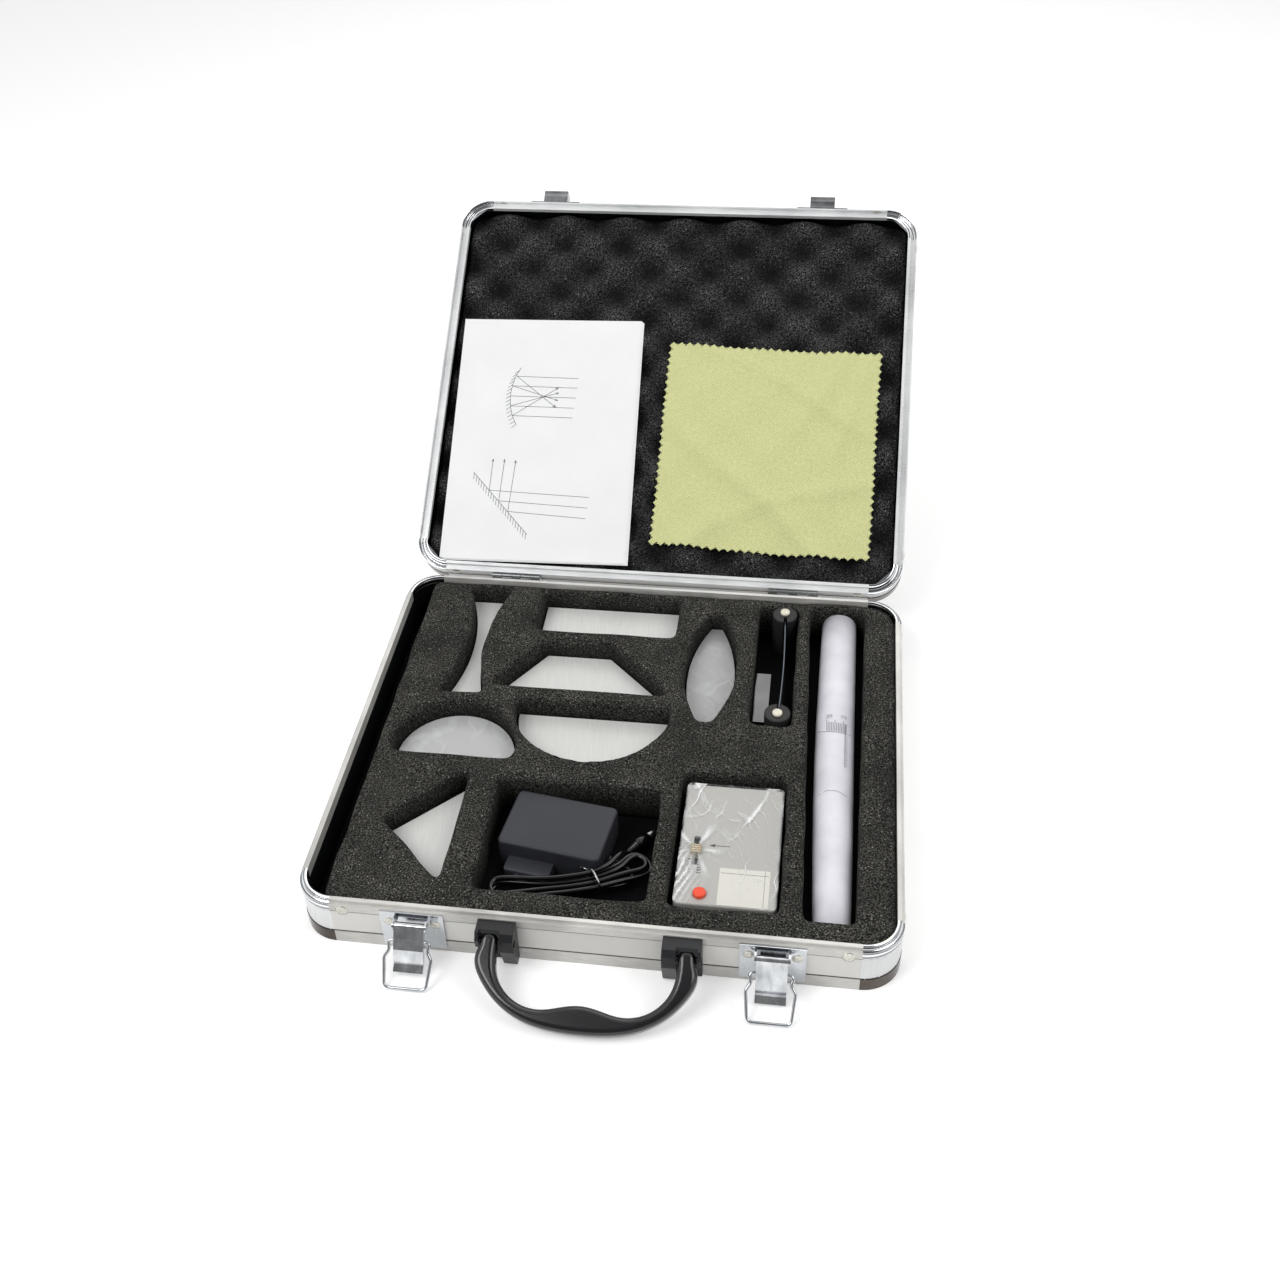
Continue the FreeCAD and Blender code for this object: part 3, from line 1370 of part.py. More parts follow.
def make_ray_box():
    """Shells, board, five laser modules, window, socket, screws, slide knob, button and bag."""
    left, right, front, back = box_edges()
    low, high = size(BOX_BOTTOM), size(BOX_TOP)
    wall = size("box_wall")
    middle = (low + high) / 2
    lower, upper = box_shells()
    keep("ray_box_lower_shell", made("RayBoxLower", lower))
    keep("ray_box_cover", made("RayBoxCover", upper))

    edge = wall + 1.0
    board_z = low + wall + size("board_above_floor")
    board = Part.makeBox(right - left - 2 * edge, back - front - 2 * edge, size("board_thickness"),
                         V(left + edge, front + edge, board_z))
    for x, y in boss_places():
        board = board.cut(Part.makeCylinder(size("boss_radius") + 0.4, 10, V(x, y, board_z - 4)))
    for x in (left + size("stand_inset_x"), right - size("stand_inset_x")):
        for y in (front + size("stand_inset_y"), back - size("stand_inset_y")):
            stand = Part.makeCylinder(2, size("board_above_floor"), V(x, y, low + wall))
            board = board.fuse(stand)
    relief = Part.makeBox(size("socket_depth") + 3, size("socket_width") + 1, 12,
                          V(left, deep("socket_y") - size("socket_width / 2") - 0.5, board_z - 4))
    board = board.cut(relief)
    inside = high - wall - size("slide_fit")
    push_top = inside - size("button_stem") - size("button_travel") - 0.1
    push = Part.makeBox(5, 5, push_top - board_z, V(wide("button_x") - 2.5, deep("button_y") - 2.5, board_z))
    slide_top = inside - size("knob_foot") - 0.3
    slide = Part.makeBox(6, 16, slide_top - board_z, V(wide("switch_x") - 3, deep("switch_y") - 8, board_z))
    board = board.multiFuse([push, slide]).removeSplitter()
    keep("ray_box_circuit_board", made("RayBoxBoard", board))

    modules = []
    for step in range(-2, 3):
        y = deep("box_y") + step * deep("laser_pitch")
        start = V(right - wall - 1.2 - size("laser_length"), y, middle)
        module = Part.makeCylinder(size("laser_radius"), size("laser_length"), start, X_AXIS)
        nose = Part.makeCylinder(1.6, 3, start + V(size("laser_length") - 2, 0, 0), X_AXIS)
        saddle_height = middle - size("laser_radius") * 0.8 - board_z - size("board_thickness")
        saddle = Part.makeBox(size("laser_length") - 4, 5, saddle_height + 1,
                              V(start.x + 2, y - 2.5, board_z + size("board_thickness")))
        modules.append(module.cut(nose).fuse(saddle).removeSplitter())
    keep("laser_modules", made("LaserModules", Part.makeCompound(modules)))

    window = deep("window_length")
    tall = size("window_height")
    keep("ray_box_window", made("RayBoxWindow", Part.makeBox(
        size("window_thickness"), window, tall,
        V(right - size("window_thickness") - 0.2, deep("box_y") - window / 2, middle - tall / 2))))

    socket_z = low + wall + size("socket_width / 2")
    socket = Part.makeBox(size("socket_depth"), size("socket_width"), size("socket_width"),
                          V(left + wall, deep("socket_y") - size("socket_width / 2"), low + wall))
    collar = Part.makeCylinder(size("socket_radius") + 0.8, wall, V(left, deep("socket_y"), socket_z), X_AXIS)
    barrel = Part.makeCylinder(size("socket_radius"), wall + 9, V(left - 0.5, deep("socket_y"), socket_z), X_AXIS)
    pin = Part.makeCylinder(size("socket_pin_radius"), 8, V(left + wall + 0.5, deep("socket_y"), socket_z), X_AXIS)
    keep("ray_box_socket", made("RayBoxSocket", socket.fuse(collar).cut(barrel).fuse(pin).removeSplitter()))

    screws = []
    for x, y in boss_places():
        head_top = low + size("screw_head") + 0.2
        head = Part.makeCylinder(size("screw_head_radius"), size("screw_head"), V(x, y, low + 0.2))
        shank = Part.makeCylinder(size("screw_radius"), high - wall - 3 - head_top, V(x, y, head_top))
        cross = Part.makeBox(3.4, 0.8, 0.8, V(x - 1.7, y - 0.4, low + 0.1))
        cross = cross.fuse(Part.makeBox(0.8, 3.4, 0.8, V(x - 0.4, y - 1.7, low + 0.1)))
        screws.append(head.fuse(shank).cut(cross))
    keep("ray_box_screws", made("RayBoxScrews", Part.makeCompound(screws)))

    fit = size("slide_fit")
    knob = size("switch_knob")
    slot_x, slot_y = wide("switch_x"), deep("switch_y")
    neck_wide = size("switch_slot_width") - 2 * fit
    cap = rounded_block(slot_x - knob / 2, slot_x + knob / 2, slot_y - knob / 2, slot_y + knob / 2,
                        high + fit, high + fit + size("switch_knob_height"), 1.0, top_round=0.6)
    for step in (-1, 0, 1):
        cap = cap.cut(Part.makeBox(knob, 0.8, 0.8, V(slot_x - knob / 2, slot_y + step * 1.9 - 0.4,
                                                     high + fit + size("switch_knob_height") - 0.5)))
    neck = Part.makeBox(neck_wide, knob, wall + 2 * fit, V(slot_x - neck_wide / 2, slot_y - knob / 2, high - wall - fit))
    foot = Part.makeBox(knob, knob + 1, size("knob_foot"))
    foot.translate(V(slot_x - knob / 2, slot_y - knob / 2 - 0.5, high - wall - fit - size("knob_foot")))
    keep("slide_switch_knob", made("SlideKnob", cap.fuse([neck, foot]).removeSplitter()))

    spot = V(wide("button_x"), deep("button_y"), 0)
    travel = size("button_travel")
    stem_low = high - wall - fit
    cap = Part.makeCylinder(size("button_radius"), high + size("button_height") - stem_low, spot + V(0, 0, stem_low))
    rim = [edge for edge in cap.Edges if edge.BoundBox.ZLength < 0.01 and edge.BoundBox.ZMin > high]
    cap = cap.makeFillet(0.9, rim)
    flange = Part.makeCylinder(size("button_flange"), 1.0, spot + V(0, 0, stem_low - 1.0))
    stem = Part.makeCylinder(1.4, 1.6, spot + V(0, 0, stem_low - size("button_stem")))
    keep("push_button", made("PushButton", cap.fuse([flange, stem]).removeSplitter()))

    slack = size("box_bag_slack")
    film = size("box_bag")
    outer = rounded_block(left - slack - film, right + slack + film, front - slack - film, back + slack + film,
                          size(PAD_TOP), size("box_bag_top"), 3.6)
    inner = rounded_block(left - slack, right + slack, front - slack, back + slack,
                          size(PAD_TOP) + film, size("box_bag_top") - film, 3.2)
    keep("ray_box_bag", made("RayBoxBag", outer.cut(inner)))


# ---------------------------------------------------------------------------------------------
# Mains adapter with its bundled lead
# ---------------------------------------------------------------------------------------------
def adapter_place():
    """The turn and place of the adapter in its pocket."""
    turn = FreeCAD.Rotation(Z_AXIS, size("adapter_turn"))
    return FreeCAD.Placement(V(wide("adapter_x"), deep("adapter_y"), size(PAD_TOP)), turn)


# the lead's free stretch from the relief to the bundle, and from the bundle to the plug
LEAD_OUT = [(7.8, -94.0, 14.0), (11.4, -95.0, 14.0), (14.6, -96.6, 14.0)]
LEAD_TO_PLUG = [(4.6, -101.6, 17.6), (9.0, -92.0, 17.2), (12.6, -84.4, 14.4)]
PLUG_AIM = (26.2, -60.4, 8.2)
# the bundle's sections: centre, half width across it in plan, half height, and heading in degrees
BUNDLE = [
    ((-74.6, -127.0, 13.2), 3.0, 2.6, 2.0),
    ((-66.0, -126.8, 15.6), 6.6, 4.0, 5.0),
    ((-36.0, -122.2, 18.6), 7.2, 3.8, 11.0),
    ((-5.4, -112.0, 16.6), 5.2, 4.8, 33.0),
    ((12.4, -101.6, 14.0), 6.2, 5.6, 35.0),
    ((22.0, -92.2, 12.6), 7.0, 5.4, 38.0),
    ((26.0, -88.9, 11.0), 3.4, 3.0, 40.0),
]


def bundle_shape():
    """The tied hank's outer form, lofted through its sections."""
    wires = []
    for (x, y, z), half_width, half_height, heading in BUNDLE:
        along = V(math.cos(math.radians(heading)), math.sin(math.radians(heading)), 0)
        across = V(-along.y, along.x, 0)
        centre = spot(x, y, z)
        if half_width >= half_height:
            ellipse = Part.Ellipse(centre + across * half_width, centre + Z_AXIS * half_height, centre)
        else:
            ellipse = Part.Ellipse(centre + Z_AXIS * half_height, centre + across * half_width, centre)
        wires.append(Part.Wire([ellipse.toShape()]))
    return wires


def make_adapter():
    """Housing, prongs, lead, bundle, tie and plug."""
    place = adapter_place()
    long, broad = wide("adapter_length"), deep("adapter_width")
    tall = size("adapter_height")
    housing = rounded_block(-long / 2, long / 2, -broad / 2, broad / 2, 0, tall, size("adapter_round"),
                            top_round=2.0, low_round=2.0)
    seam = rounded_block(-long / 2 - 1, long / 2 + 1, -broad / 2 - 1, broad / 2 + 1, tall * 0.55, tall * 0.55 + 0.6, 4.0)
    core = rounded_block(-long / 2 + 0.5, long / 2 - 0.5, -broad / 2 + 0.5, broad / 2 - 0.5, tall * 0.55 - 1,
                         tall * 0.55 + 1.6, size("adapter_round") - 0.5)
    housing = housing.cut(seam.cut(core))
    boss_long, boss_out = size("adapter_boss_length"), size("adapter_boss_out")
    boss = Part.makeBox(boss_long, boss_out + 4, size("adapter_boss_height"),
                        V(-long / 2 + 8, -broad / 2 - boss_out, 0.6))
    boss = boss.makeFillet(2.0, [edge for edge in boss.Edges if edge.BoundBox.YMax < -broad / 2 - boss_out + 0.01])
    housing = housing.fuse(boss).removeSplitter()
    keep("adapter_housing", made("AdapterHousing", housing), place)

    prongs = []
    spacing = size("prong_spacing / 2")
    middle = -long / 2 + 8 + boss_long / 2
    face = -broad / 2 - boss_out
    for side in (-1, 1):
        blade = Part.makeBox(size("prong_thickness"), size("prong_length"), size("prong_width"),
                             V(middle + side * spacing - size("prong_thickness / 2"), face - size("prong_length"), 2.4))
        tip = [edge for edge in blade.Edges
               if edge.BoundBox.XLength < 0.01 + size("prong_thickness")
               and edge.BoundBox.YMax < face - size("prong_length") + 0.01
               and edge.BoundBox.ZLength < 0.01]
        prongs.append(blade.makeFillet(1.2, tip))
    keep("adapter_prongs", made("AdapterProngs", Part.makeCompound(prongs)), adapter_place())

    wires = bundle_shape()
    hank = Part.makeLoft(wires, True, False)
    exit_end = spot(*LEAD_OUT[0])
    keep("cord_hank", made("CordHank", hank))

    radius = size("cord_radius")
    lead = []
    for points in (LEAD_OUT, LEAD_TO_PLUG):
        route = [spot(*point) for point in points]
        first, second = (route[1] - route[0]).Length, (route[2] - route[1]).Length
        turn = (route[1] - route[0]).getAngle(route[2] - route[1])
        bend = 0.45 * min(first, second) / math.tan(turn / 2)
        print("lead bend radius %.1f mm, runs %.1f and %.1f mm" % (bend, first, second))
        whole = tube(rounded_path(route, [bend]), radius)
        lead.append(whole.cut(hank))
    heading = (spot(*LEAD_OUT[1]) - exit_end).normalize()
    relief = Part.makeCone(size("relief_radius"), size("cord_radius") + 0.5, size("relief_length"),
                           exit_end - heading * size("relief_length"), heading)
    relief = relief.cut(NODES["adapter_housing"].Shape)
    lead.append(relief)

    tie_at, tie_wide, tie_high, heading_deg = BUNDLE[3]
    along = V(math.cos(math.radians(heading_deg)), math.sin(math.radians(heading_deg)), 0)
    band = Part.makeCylinder(tie_high + 1.2, 3.0, spot(*tie_at) - along * 1.5, along)
    keep("cord_tie", made("CordTie", band.cut(hank)))

    tail = spot(*LEAD_TO_PLUG[-1])
    aim = (spot(*PLUG_AIM) - tail).normalize()
    long = size("plug_length")
    grip = Part.makeCone(size("cord_radius") + 0.8, size("plug_radius"), long * 0.4, tail, aim)
    body = Part.makeCylinder(size("plug_radius"), long * 0.6, tail + aim * long * 0.4, aim)
    barrel = Part.makeCylinder(size("plug_barrel_radius"), size("plug_barrel_length"), tail + aim * long, aim)
    bore = Part.makeCylinder(size("plug_bore"), size("plug_barrel_length"), tail + aim * (long + 0.5), aim)
    plug = grip.fuse([body, barrel]).cut(bore).removeSplitter()
    keep("cord_plug", made("CordPlug", plug))
    keep("power_cord", made("PowerCord", Part.makeCompound([piece.cut(plug) for piece in lead])))


# ---------------------------------------------------------------------------------------------
# Booklet and cloth on the lid's foam
# ---------------------------------------------------------------------------------------------
def make_lid_load():
    """A stapled booklet and a folded cleaning cloth, lying on the lid's foam."""
    for label, x, y in (("booklet", "booklet_x", "booklet_y"), ("cleaning_cloth", "cloth_x", "cloth_y")):
        stem = "booklet" if label == "booklet" else "cloth"
        width, length = wide(stem + "_width"), deep(stem + "_length")
        thick = size(stem + "_thickness")
        slab = Part.makeBox(width, length, thick, V(-width / 2, -length / 2, 0))
        turn = size("booklet_turn") if label == "booklet" else 0
        height = size("lid_foam_face") - size("lid_load_gap") - thick
        spot = FreeCAD.Placement(V(wide(x), deep(y), height), FreeCAD.Rotation(Z_AXIS, turn))
        slab.Placement = spot
        keep(label, made(label + "Slab", slab), lid_opened())


def check_and_write():
    """Stops on any failed feature or shape, then writes one file for each node."""
    doc.recompute()
    for feature in doc.Objects:
        if "Invalid" in feature.State or "Error" in feature.State:
            raise RuntimeError("%s failed: %s" % (feature.Name, feature.State))
    os.makedirs("parts", exist_ok=True)
    for label, feature in NODES.items():
        shape = feature.Shape
        if shape.isNull() or not shape.isValid() or not shape.Solids:
            raise RuntimeError("%s has no valid solid" % label)
        shape.exportStep("parts/%s.step" % label)
    print("%d nodes, %d solids" % (len(NODES), sum(len(f.Shape.Solids) for f in NODES.values())))


def main():
    """Builds the kit from the case outwards."""
    make_base_frame()
    make_lid_frame()
    make_hinges()
    make_rivets()
    make_handle()
    make_latches()
    make_foam()
    make_optics()
    make_mirror_set()
    make_paper_roll()
    make_ray_box()
    make_adapter()
    make_lid_load()
    check_and_write()


main()
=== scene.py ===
"""Dressed model of a laser ray box kit in an aluminium-edged carry case.

Frame: X to the right, Y to the back, Z up, in metres, origin at the centre of the case's underside.
Lengths are written in millimetres and turned to metres where a mesh is made.
"""

from __future__ import annotations

import json
import logging
import math
from dataclasses import dataclass
from enum import Enum
from typing import Iterable, Sequence

import bmesh
import bpy
import numpy as np
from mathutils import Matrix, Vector

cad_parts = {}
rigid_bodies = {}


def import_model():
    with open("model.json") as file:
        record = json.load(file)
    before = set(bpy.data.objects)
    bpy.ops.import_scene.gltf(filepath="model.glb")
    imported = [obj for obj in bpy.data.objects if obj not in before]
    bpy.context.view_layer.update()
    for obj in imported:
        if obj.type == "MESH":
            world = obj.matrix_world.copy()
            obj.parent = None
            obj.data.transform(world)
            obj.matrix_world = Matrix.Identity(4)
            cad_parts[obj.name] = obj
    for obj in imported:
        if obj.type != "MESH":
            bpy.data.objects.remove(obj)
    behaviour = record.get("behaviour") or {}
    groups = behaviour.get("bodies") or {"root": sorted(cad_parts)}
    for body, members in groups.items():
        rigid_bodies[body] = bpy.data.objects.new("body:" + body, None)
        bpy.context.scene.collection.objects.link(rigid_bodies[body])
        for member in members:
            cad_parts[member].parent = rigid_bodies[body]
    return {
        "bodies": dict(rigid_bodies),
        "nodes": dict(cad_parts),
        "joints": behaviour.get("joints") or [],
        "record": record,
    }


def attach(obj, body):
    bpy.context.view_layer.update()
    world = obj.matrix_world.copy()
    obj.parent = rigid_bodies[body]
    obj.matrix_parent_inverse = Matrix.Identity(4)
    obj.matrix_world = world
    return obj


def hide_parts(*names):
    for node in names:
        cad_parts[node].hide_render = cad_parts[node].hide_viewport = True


Colour = tuple[float, float, float, float]
Line = tuple[float, float, float, float]
Mould = tuple[np.ndarray, list[tuple[int, ...]]]
Node = bpy.types.Node
Piece = bpy.types.Object
Point = tuple[float, float, float]
Socket = bpy.types.NodeSocket

LOG = logging.getLogger("ray_box_kit")
MM = 0.001
FULL_TURN = 2 * math.pi
HINGE_LINE = (166.9, 38.6)
LID_ANGLE = 146.3
WELD = 0.002
CORNER_CENTRE = (165.0, 140.0)


def tint(code: str) -> Colour:
    """Turn a six-digit colour code into linear light.

    Args:
        code: Red, green and blue as hexadecimal pairs.

    Returns:
        The linear colour with full opacity.
    """
    parts = [int(code[i : i + 2], 16) / 255 for i in (0, 2, 4)]
    linear = [c / 12.92 if c <= 0.04045 else ((c + 0.055) / 1.055) ** 2.4 for c in parts]
    return (linear[0], linear[1], linear[2], 1.0)


def opened(points: np.ndarray) -> np.ndarray:
    """Turn points of the closed lid about the hinge line to where they lie when it stands open.

    Args:
        points: One row of X, Y, Z for each point, in millimetres.

    Returns:
        The turned points, in millimetres.
    """
    angle = -math.radians(LID_ANGLE)
    y, z = points[:, 1] - HINGE_LINE[0], points[:, 2] - HINGE_LINE[1]
    turned = points.copy()
    turned[:, 1] = y * math.cos(angle) - z * math.sin(angle) + HINGE_LINE[0]
    turned[:, 2] = y * math.sin(angle) + z * math.cos(angle) + HINGE_LINE[1]
    return turned


# ------------ Node trees ------------
class Bench:
    """Puts nodes in one tree and joins them."""

    def __init__(self, tree: bpy.types.NodeTree) -> None:
        """Keep the tree that the nodes go in."""
        self.tree = tree

    @classmethod
    def fresh(cls, owner: bpy.types.Material | bpy.types.World) -> Bench:
        """Switch on the nodes of a material or a world and empty them.

        Args:
            owner: The material or the world.

        Returns:
            The bench for its tree.
        """
        owner.use_nodes = True
        owner.node_tree.nodes.clear()
        return cls(owner.node_tree)

    def put(self, kind: str, inputs: dict | None = None, **settings: object) -> Node:
        """Add one node.

        Args:
            kind: The node's type.
            inputs: Values or sockets for its inputs, by name or number.
            settings: The node's own settings.

        Returns:
            The node.
        """
        node = self.tree.nodes.new(kind)
        for name, value in settings.items():
            setattr(node, name, value)
        for name, value in (inputs or {}).items():
            if isinstance(value, Socket):
                self.tree.links.new(value, node.inputs[name])
            else:
                node.inputs[name].default_value = value
        return node

    def math(self, operation: str, *values: object) -> Socket:
        """Join a Math node to its values and return its result."""
        return self.put("ShaderNodeMath", dict(enumerate(values)), operation=operation).outputs[0]

    def vector(self, operation: str, *values: object) -> Socket:
        """Join a Vector Math node to its values and return its result."""
        return self.put("ShaderNodeVectorMath", dict(enumerate(values)), operation=operation).outputs[0]

    def product(self, first: object, *others: object) -> Socket:
        """Multiply values together.

        Args:
            first: The first value.
            others: The values that it is multiplied by.

        Returns:
            The last result.
        """
        for other in others:
            first = self.math("MULTIPLY", first, other)
        return first

    def triple(self, x: object = 0.0, y: object = 0.0, z: object = 0.0) -> Socket:
        """Join three values to one vector."""
        return self.put("ShaderNodeCombineXYZ", {0: x, 1: y, 2: z}).outputs[0]

    def noise(self, where: Socket, scale: object, detail: float = 2.0, roughness: float = 0.5) -> Node:
        """Put a noise texture.

        Args:
            where: The coordinates that it follows.
            scale: Its waves in each unit of the coordinates.
            detail: How many finer layers it has.
            roughness: How strong the finer layers are.

        Returns:
            The node.
        """
        inputs = {"Vector": where, "Scale": scale, "Detail": detail, "Roughness": roughness}
        return self.put("ShaderNodeTexNoise", inputs)

    def span(self, value: object, low: object, high: object, to_low: object = 0.0, to_high: object = 1.0,
             smooth: bool = False) -> Socket:
        """Stretch a value from one range to another.

        Args:
            value: The value.
            low: The value that gives to_low.
            high: The value that gives to_high.
            to_low: The lowest result.
            to_high: The highest result.
            smooth: Ease in and out between the two.

        Returns:
            The result's socket.
        """
        kind = "SMOOTHSTEP" if smooth else "LINEAR"
        return self.put("ShaderNodeMapRange", {0: value, 1: low, 2: high, 3: to_low, 4: to_high},
                        interpolation_type=kind).outputs[0]


class Effect:
    """A shader node group with named inputs and outputs, built once and shared."""

    name: str = ""
    inputs: tuple[tuple[str, float], ...] = ()
    outputs: tuple[str, ...] = ("Mask", "Height")

    @classmethod
    def tree(cls) -> bpy.types.NodeTree:
        """Build the group's tree the first time, and find it again later.

        Returns:
            The tree.
        """
        found = bpy.data.node_groups.get(cls.name)
        if found:
            return found
        tree = bpy.data.node_groups.new(cls.name, "ShaderNodeTree")
        tree.interface.new_socket("Place", in_out="INPUT", socket_type="NodeSocketVector")
        for label, value in cls.inputs:
            socket = tree.interface.new_socket(label, in_out="INPUT", socket_type="NodeSocketFloat")
            socket.default_value = value
        for label in cls.outputs:
            tree.interface.new_socket(label, in_out="OUTPUT", socket_type="NodeSocketFloat")
        bench = Bench(tree)
        results = cls.draw(bench, bench.put("NodeGroupInput").outputs)
        bench.put("NodeGroupOutput", dict(zip(cls.outputs, results)))
        return tree

    @classmethod
    def draw(cls, bench: Bench, given: bpy.types.NodeOutputs) -> tuple[Socket, ...]:
        """Build the group's own nodes from its inputs, and return one socket for each output."""
        raise NotImplementedError

    @classmethod
    def place(cls, bench: Bench, where: Socket, **values: float) -> Node:
        """Put the group in a material.

        Args:
            bench: The material's bench.
            where: The coordinates that the pattern follows.
            values: The group's inputs, with their spaces written as underscores.

        Returns:
            The group node.
        """
        node = bench.put("ShaderNodeGroup", node_tree=cls.tree())
        bench.tree.links.new(where, node.inputs["Place"])
        for label, value in values.items():
            node.inputs[label.replace("_", " ")].default_value = value
        return node


class FineGrain(Effect):
    """Moulded grain: a fine even stipple with slow changes of tone under it."""

    name = "fine_grain"
    inputs = (("Grain per mm", 2.0), ("Cloud per mm", 0.02), ("Contrast", 0.5))

    @classmethod
    def draw(cls, bench: Bench, given: bpy.types.NodeOutputs) -> tuple[Socket, ...]:
        """Mix a fine noise with a slow one.

        Args:
            bench: The group's bench.
            given: Its inputs.

        Returns:
            The mask and the height.
        """
        fine = bench.noise(given["Place"], given["Grain per mm"], 3.0)
        slow = bench.noise(given["Place"], given["Cloud per mm"])
        share = bench.put("ShaderNodeMix", {0: given["Contrast"], 2: slow.outputs[0], 3: fine.outputs[0]})
        return bench.span(share.outputs[0], 0.3, 0.7), fine.outputs[0]


class DrawnStreaks(Effect):
    """Long fine streaks that a drawn or brushed metal has along one direction."""

    name = "drawn_streaks"
    inputs = (("Streaks per mm", 3.0), ("Along", 0.02), ("Cloud per mm", 0.02))

    @classmethod
    def draw(cls, bench: Bench, given: bpy.types.NodeOutputs) -> tuple[Socket, ...]:
        """Squeeze a noise along X, and add slow smudges.

        Args:
            bench: The group's bench.
            given: Its inputs.

        Returns:
            The mask and the height.
        """
        squeezed = bench.vector("MULTIPLY", given["Place"], bench.triple(given["Along"], 1.0, 1.0))
        lines = bench.noise(squeezed, given["Streaks per mm"], 4.0)
        smudge = bench.noise(given["Place"], given["Cloud per mm"], 3.0)
        both = bench.math("MULTIPLY_ADD", smudge.outputs[0], 0.5, bench.product(lines.outputs[0], 0.5))
        return bench.span(both, 0.35, 0.65), lines.outputs[0]


class OpenCells(Effect):
    """Open-cell foam: mottled dark pores and sparse struts that catch the light."""

    name = "open_cells"
    inputs = (("Glints per mm", 0.45), ("Glints", 0.7), ("Sparse", 0.45), ("Mottle per mm", 0.8), ("Mottle", 0.16))

    @classmethod
    def draw(cls, bench: Bench, given: bpy.types.NodeOutputs) -> tuple[Socket, ...]:
        """Put small spots in some cells for the glints, and a rough noise for the pores.

        Args:
            bench: The group's bench.
            given: Its inputs.

        Returns:
            The mask and the height.
        """
        place, glints_per_mm = given["Place"], given["Glints per mm"]
        cells = bench.put("ShaderNodeTexVoronoi", {"Vector": place, "Scale": glints_per_mm}, feature="F1")
        spot = bench.span(cells.outputs["Distance"], 0.06, 0.3, 1.0, 0.0, smooth=True)
        lot = bench.put("ShaderNodeSeparateColor", {0: cells.outputs["Color"]})
        chosen = bench.span(lot.outputs[0], given["Sparse"], 1.0)
        pores = bench.noise(place, given["Mottle per mm"], 4.0, 0.7)
        slow = bench.noise(place, 0.03)
        rough = bench.span(pores.outputs[0], 0.46, 0.66)
        cloud = bench.span(slow.outputs[0], 0.3, 0.7, 0.6, 1.3)
        base = bench.product(rough, given["Mottle"], cloud)
        glint = bench.product(spot, chosen, given["Glints"])
        return bench.math("MINIMUM", bench.math("ADD", base, glint), 1.0), pores.outputs[0]


class FilmCreases(Effect):
    """Creases of a thin film: long bent folds in two directions that fade in and out."""

    name = "film_creases"
    inputs = (("Creases per mm", 0.05), ("Fade per mm", 0.03), ("Width", 0.04))

    @classmethod
    def draw(cls, bench: Bench, given: bpy.types.NodeOutputs) -> tuple[Socket, ...]:
        """Stretch a bent noise two ways and keep its middle contour as thin ridges.

        Args:
            bench: The group's bench.
            given: Its inputs.

        Returns:
            The mask and the height.
        """
        place, creases_per_mm = given["Place"], given["Creases per mm"]
        warp = bench.noise(place, creases_per_mm, 1.0)
        push = bench.put("ShaderNodeVectorMath", {0: warp.outputs["Color"], "Scale": 14.0}, operation="SCALE")
        bent = bench.vector("ADD", place, push.outputs[0])
        ridges = []
        for angle, finer in ((0.45, 1.0), (-0.6, 1.9)):
            turned = bench.put("ShaderNodeVectorRotate", {"Vector": bent, "Angle": angle}, rotation_type="Z_AXIS")
            drawn = bench.vector("MULTIPLY", turned.outputs[0], (finer, finer * 0.2, finer * 0.6))
            folds = bench.noise(drawn, creases_per_mm, 1.0)
            off = bench.math("ABSOLUTE", bench.math("SUBTRACT", folds.outputs[0], 0.5))
            ridges.append(bench.span(off, 0.0, given["Width"], 1.0, 0.0, smooth=True))
        fade = bench.noise(place, given["Fade per mm"])
        shown = bench.span(fade.outputs[0], 0.42, 0.62)
        ridge = bench.product(bench.math("MULTIPLY_ADD", ridges[1], 0.5, ridges[0]), shown)
        height = bench.math("MULTIPLY_ADD", ridge, 0.6, warp.outputs[0])
        return bench.math("MINIMUM", ridge, 1.0), height


class PlainWeave(Effect):
    """Crossing threads over and under one another, turned a little to the edges."""

    name = "plain_weave"
    inputs = (("Threads per mm", 1.1), ("Slub", 0.3))

    @classmethod
    def draw(cls, bench: Bench, given: bpy.types.NodeOutputs) -> tuple[Socket, ...]:
        """Cross two sine sets of threads, and thicken and thin them with a noise.

        Args:
            bench: The group's bench.
            given: Its inputs.

        Returns:
            The mask and the height.
        """
        place = given["Place"]
        turn = bench.put("ShaderNodeVectorRotate", {"Vector": place, "Angle": 0.35}, rotation_type="Z_AXIS")
        split = bench.put("ShaderNodeSeparateXYZ", {0: turn.outputs[0]})
        pitch = bench.product(given["Threads per mm"], FULL_TURN)
        warp = bench.math("SINE", bench.product(split.outputs[0], pitch))
        weft = bench.math("SINE", bench.product(split.outputs[1], pitch))
        cross = bench.product(warp, weft)
        slub = bench.noise(place, 0.35, 4.0)
        uneven = bench.math("MULTIPLY_ADD", slub.outputs[0], given["Slub"], 0.1)
        return bench.math("MULTIPLY_ADD", cross, 0.4, uneven), cross


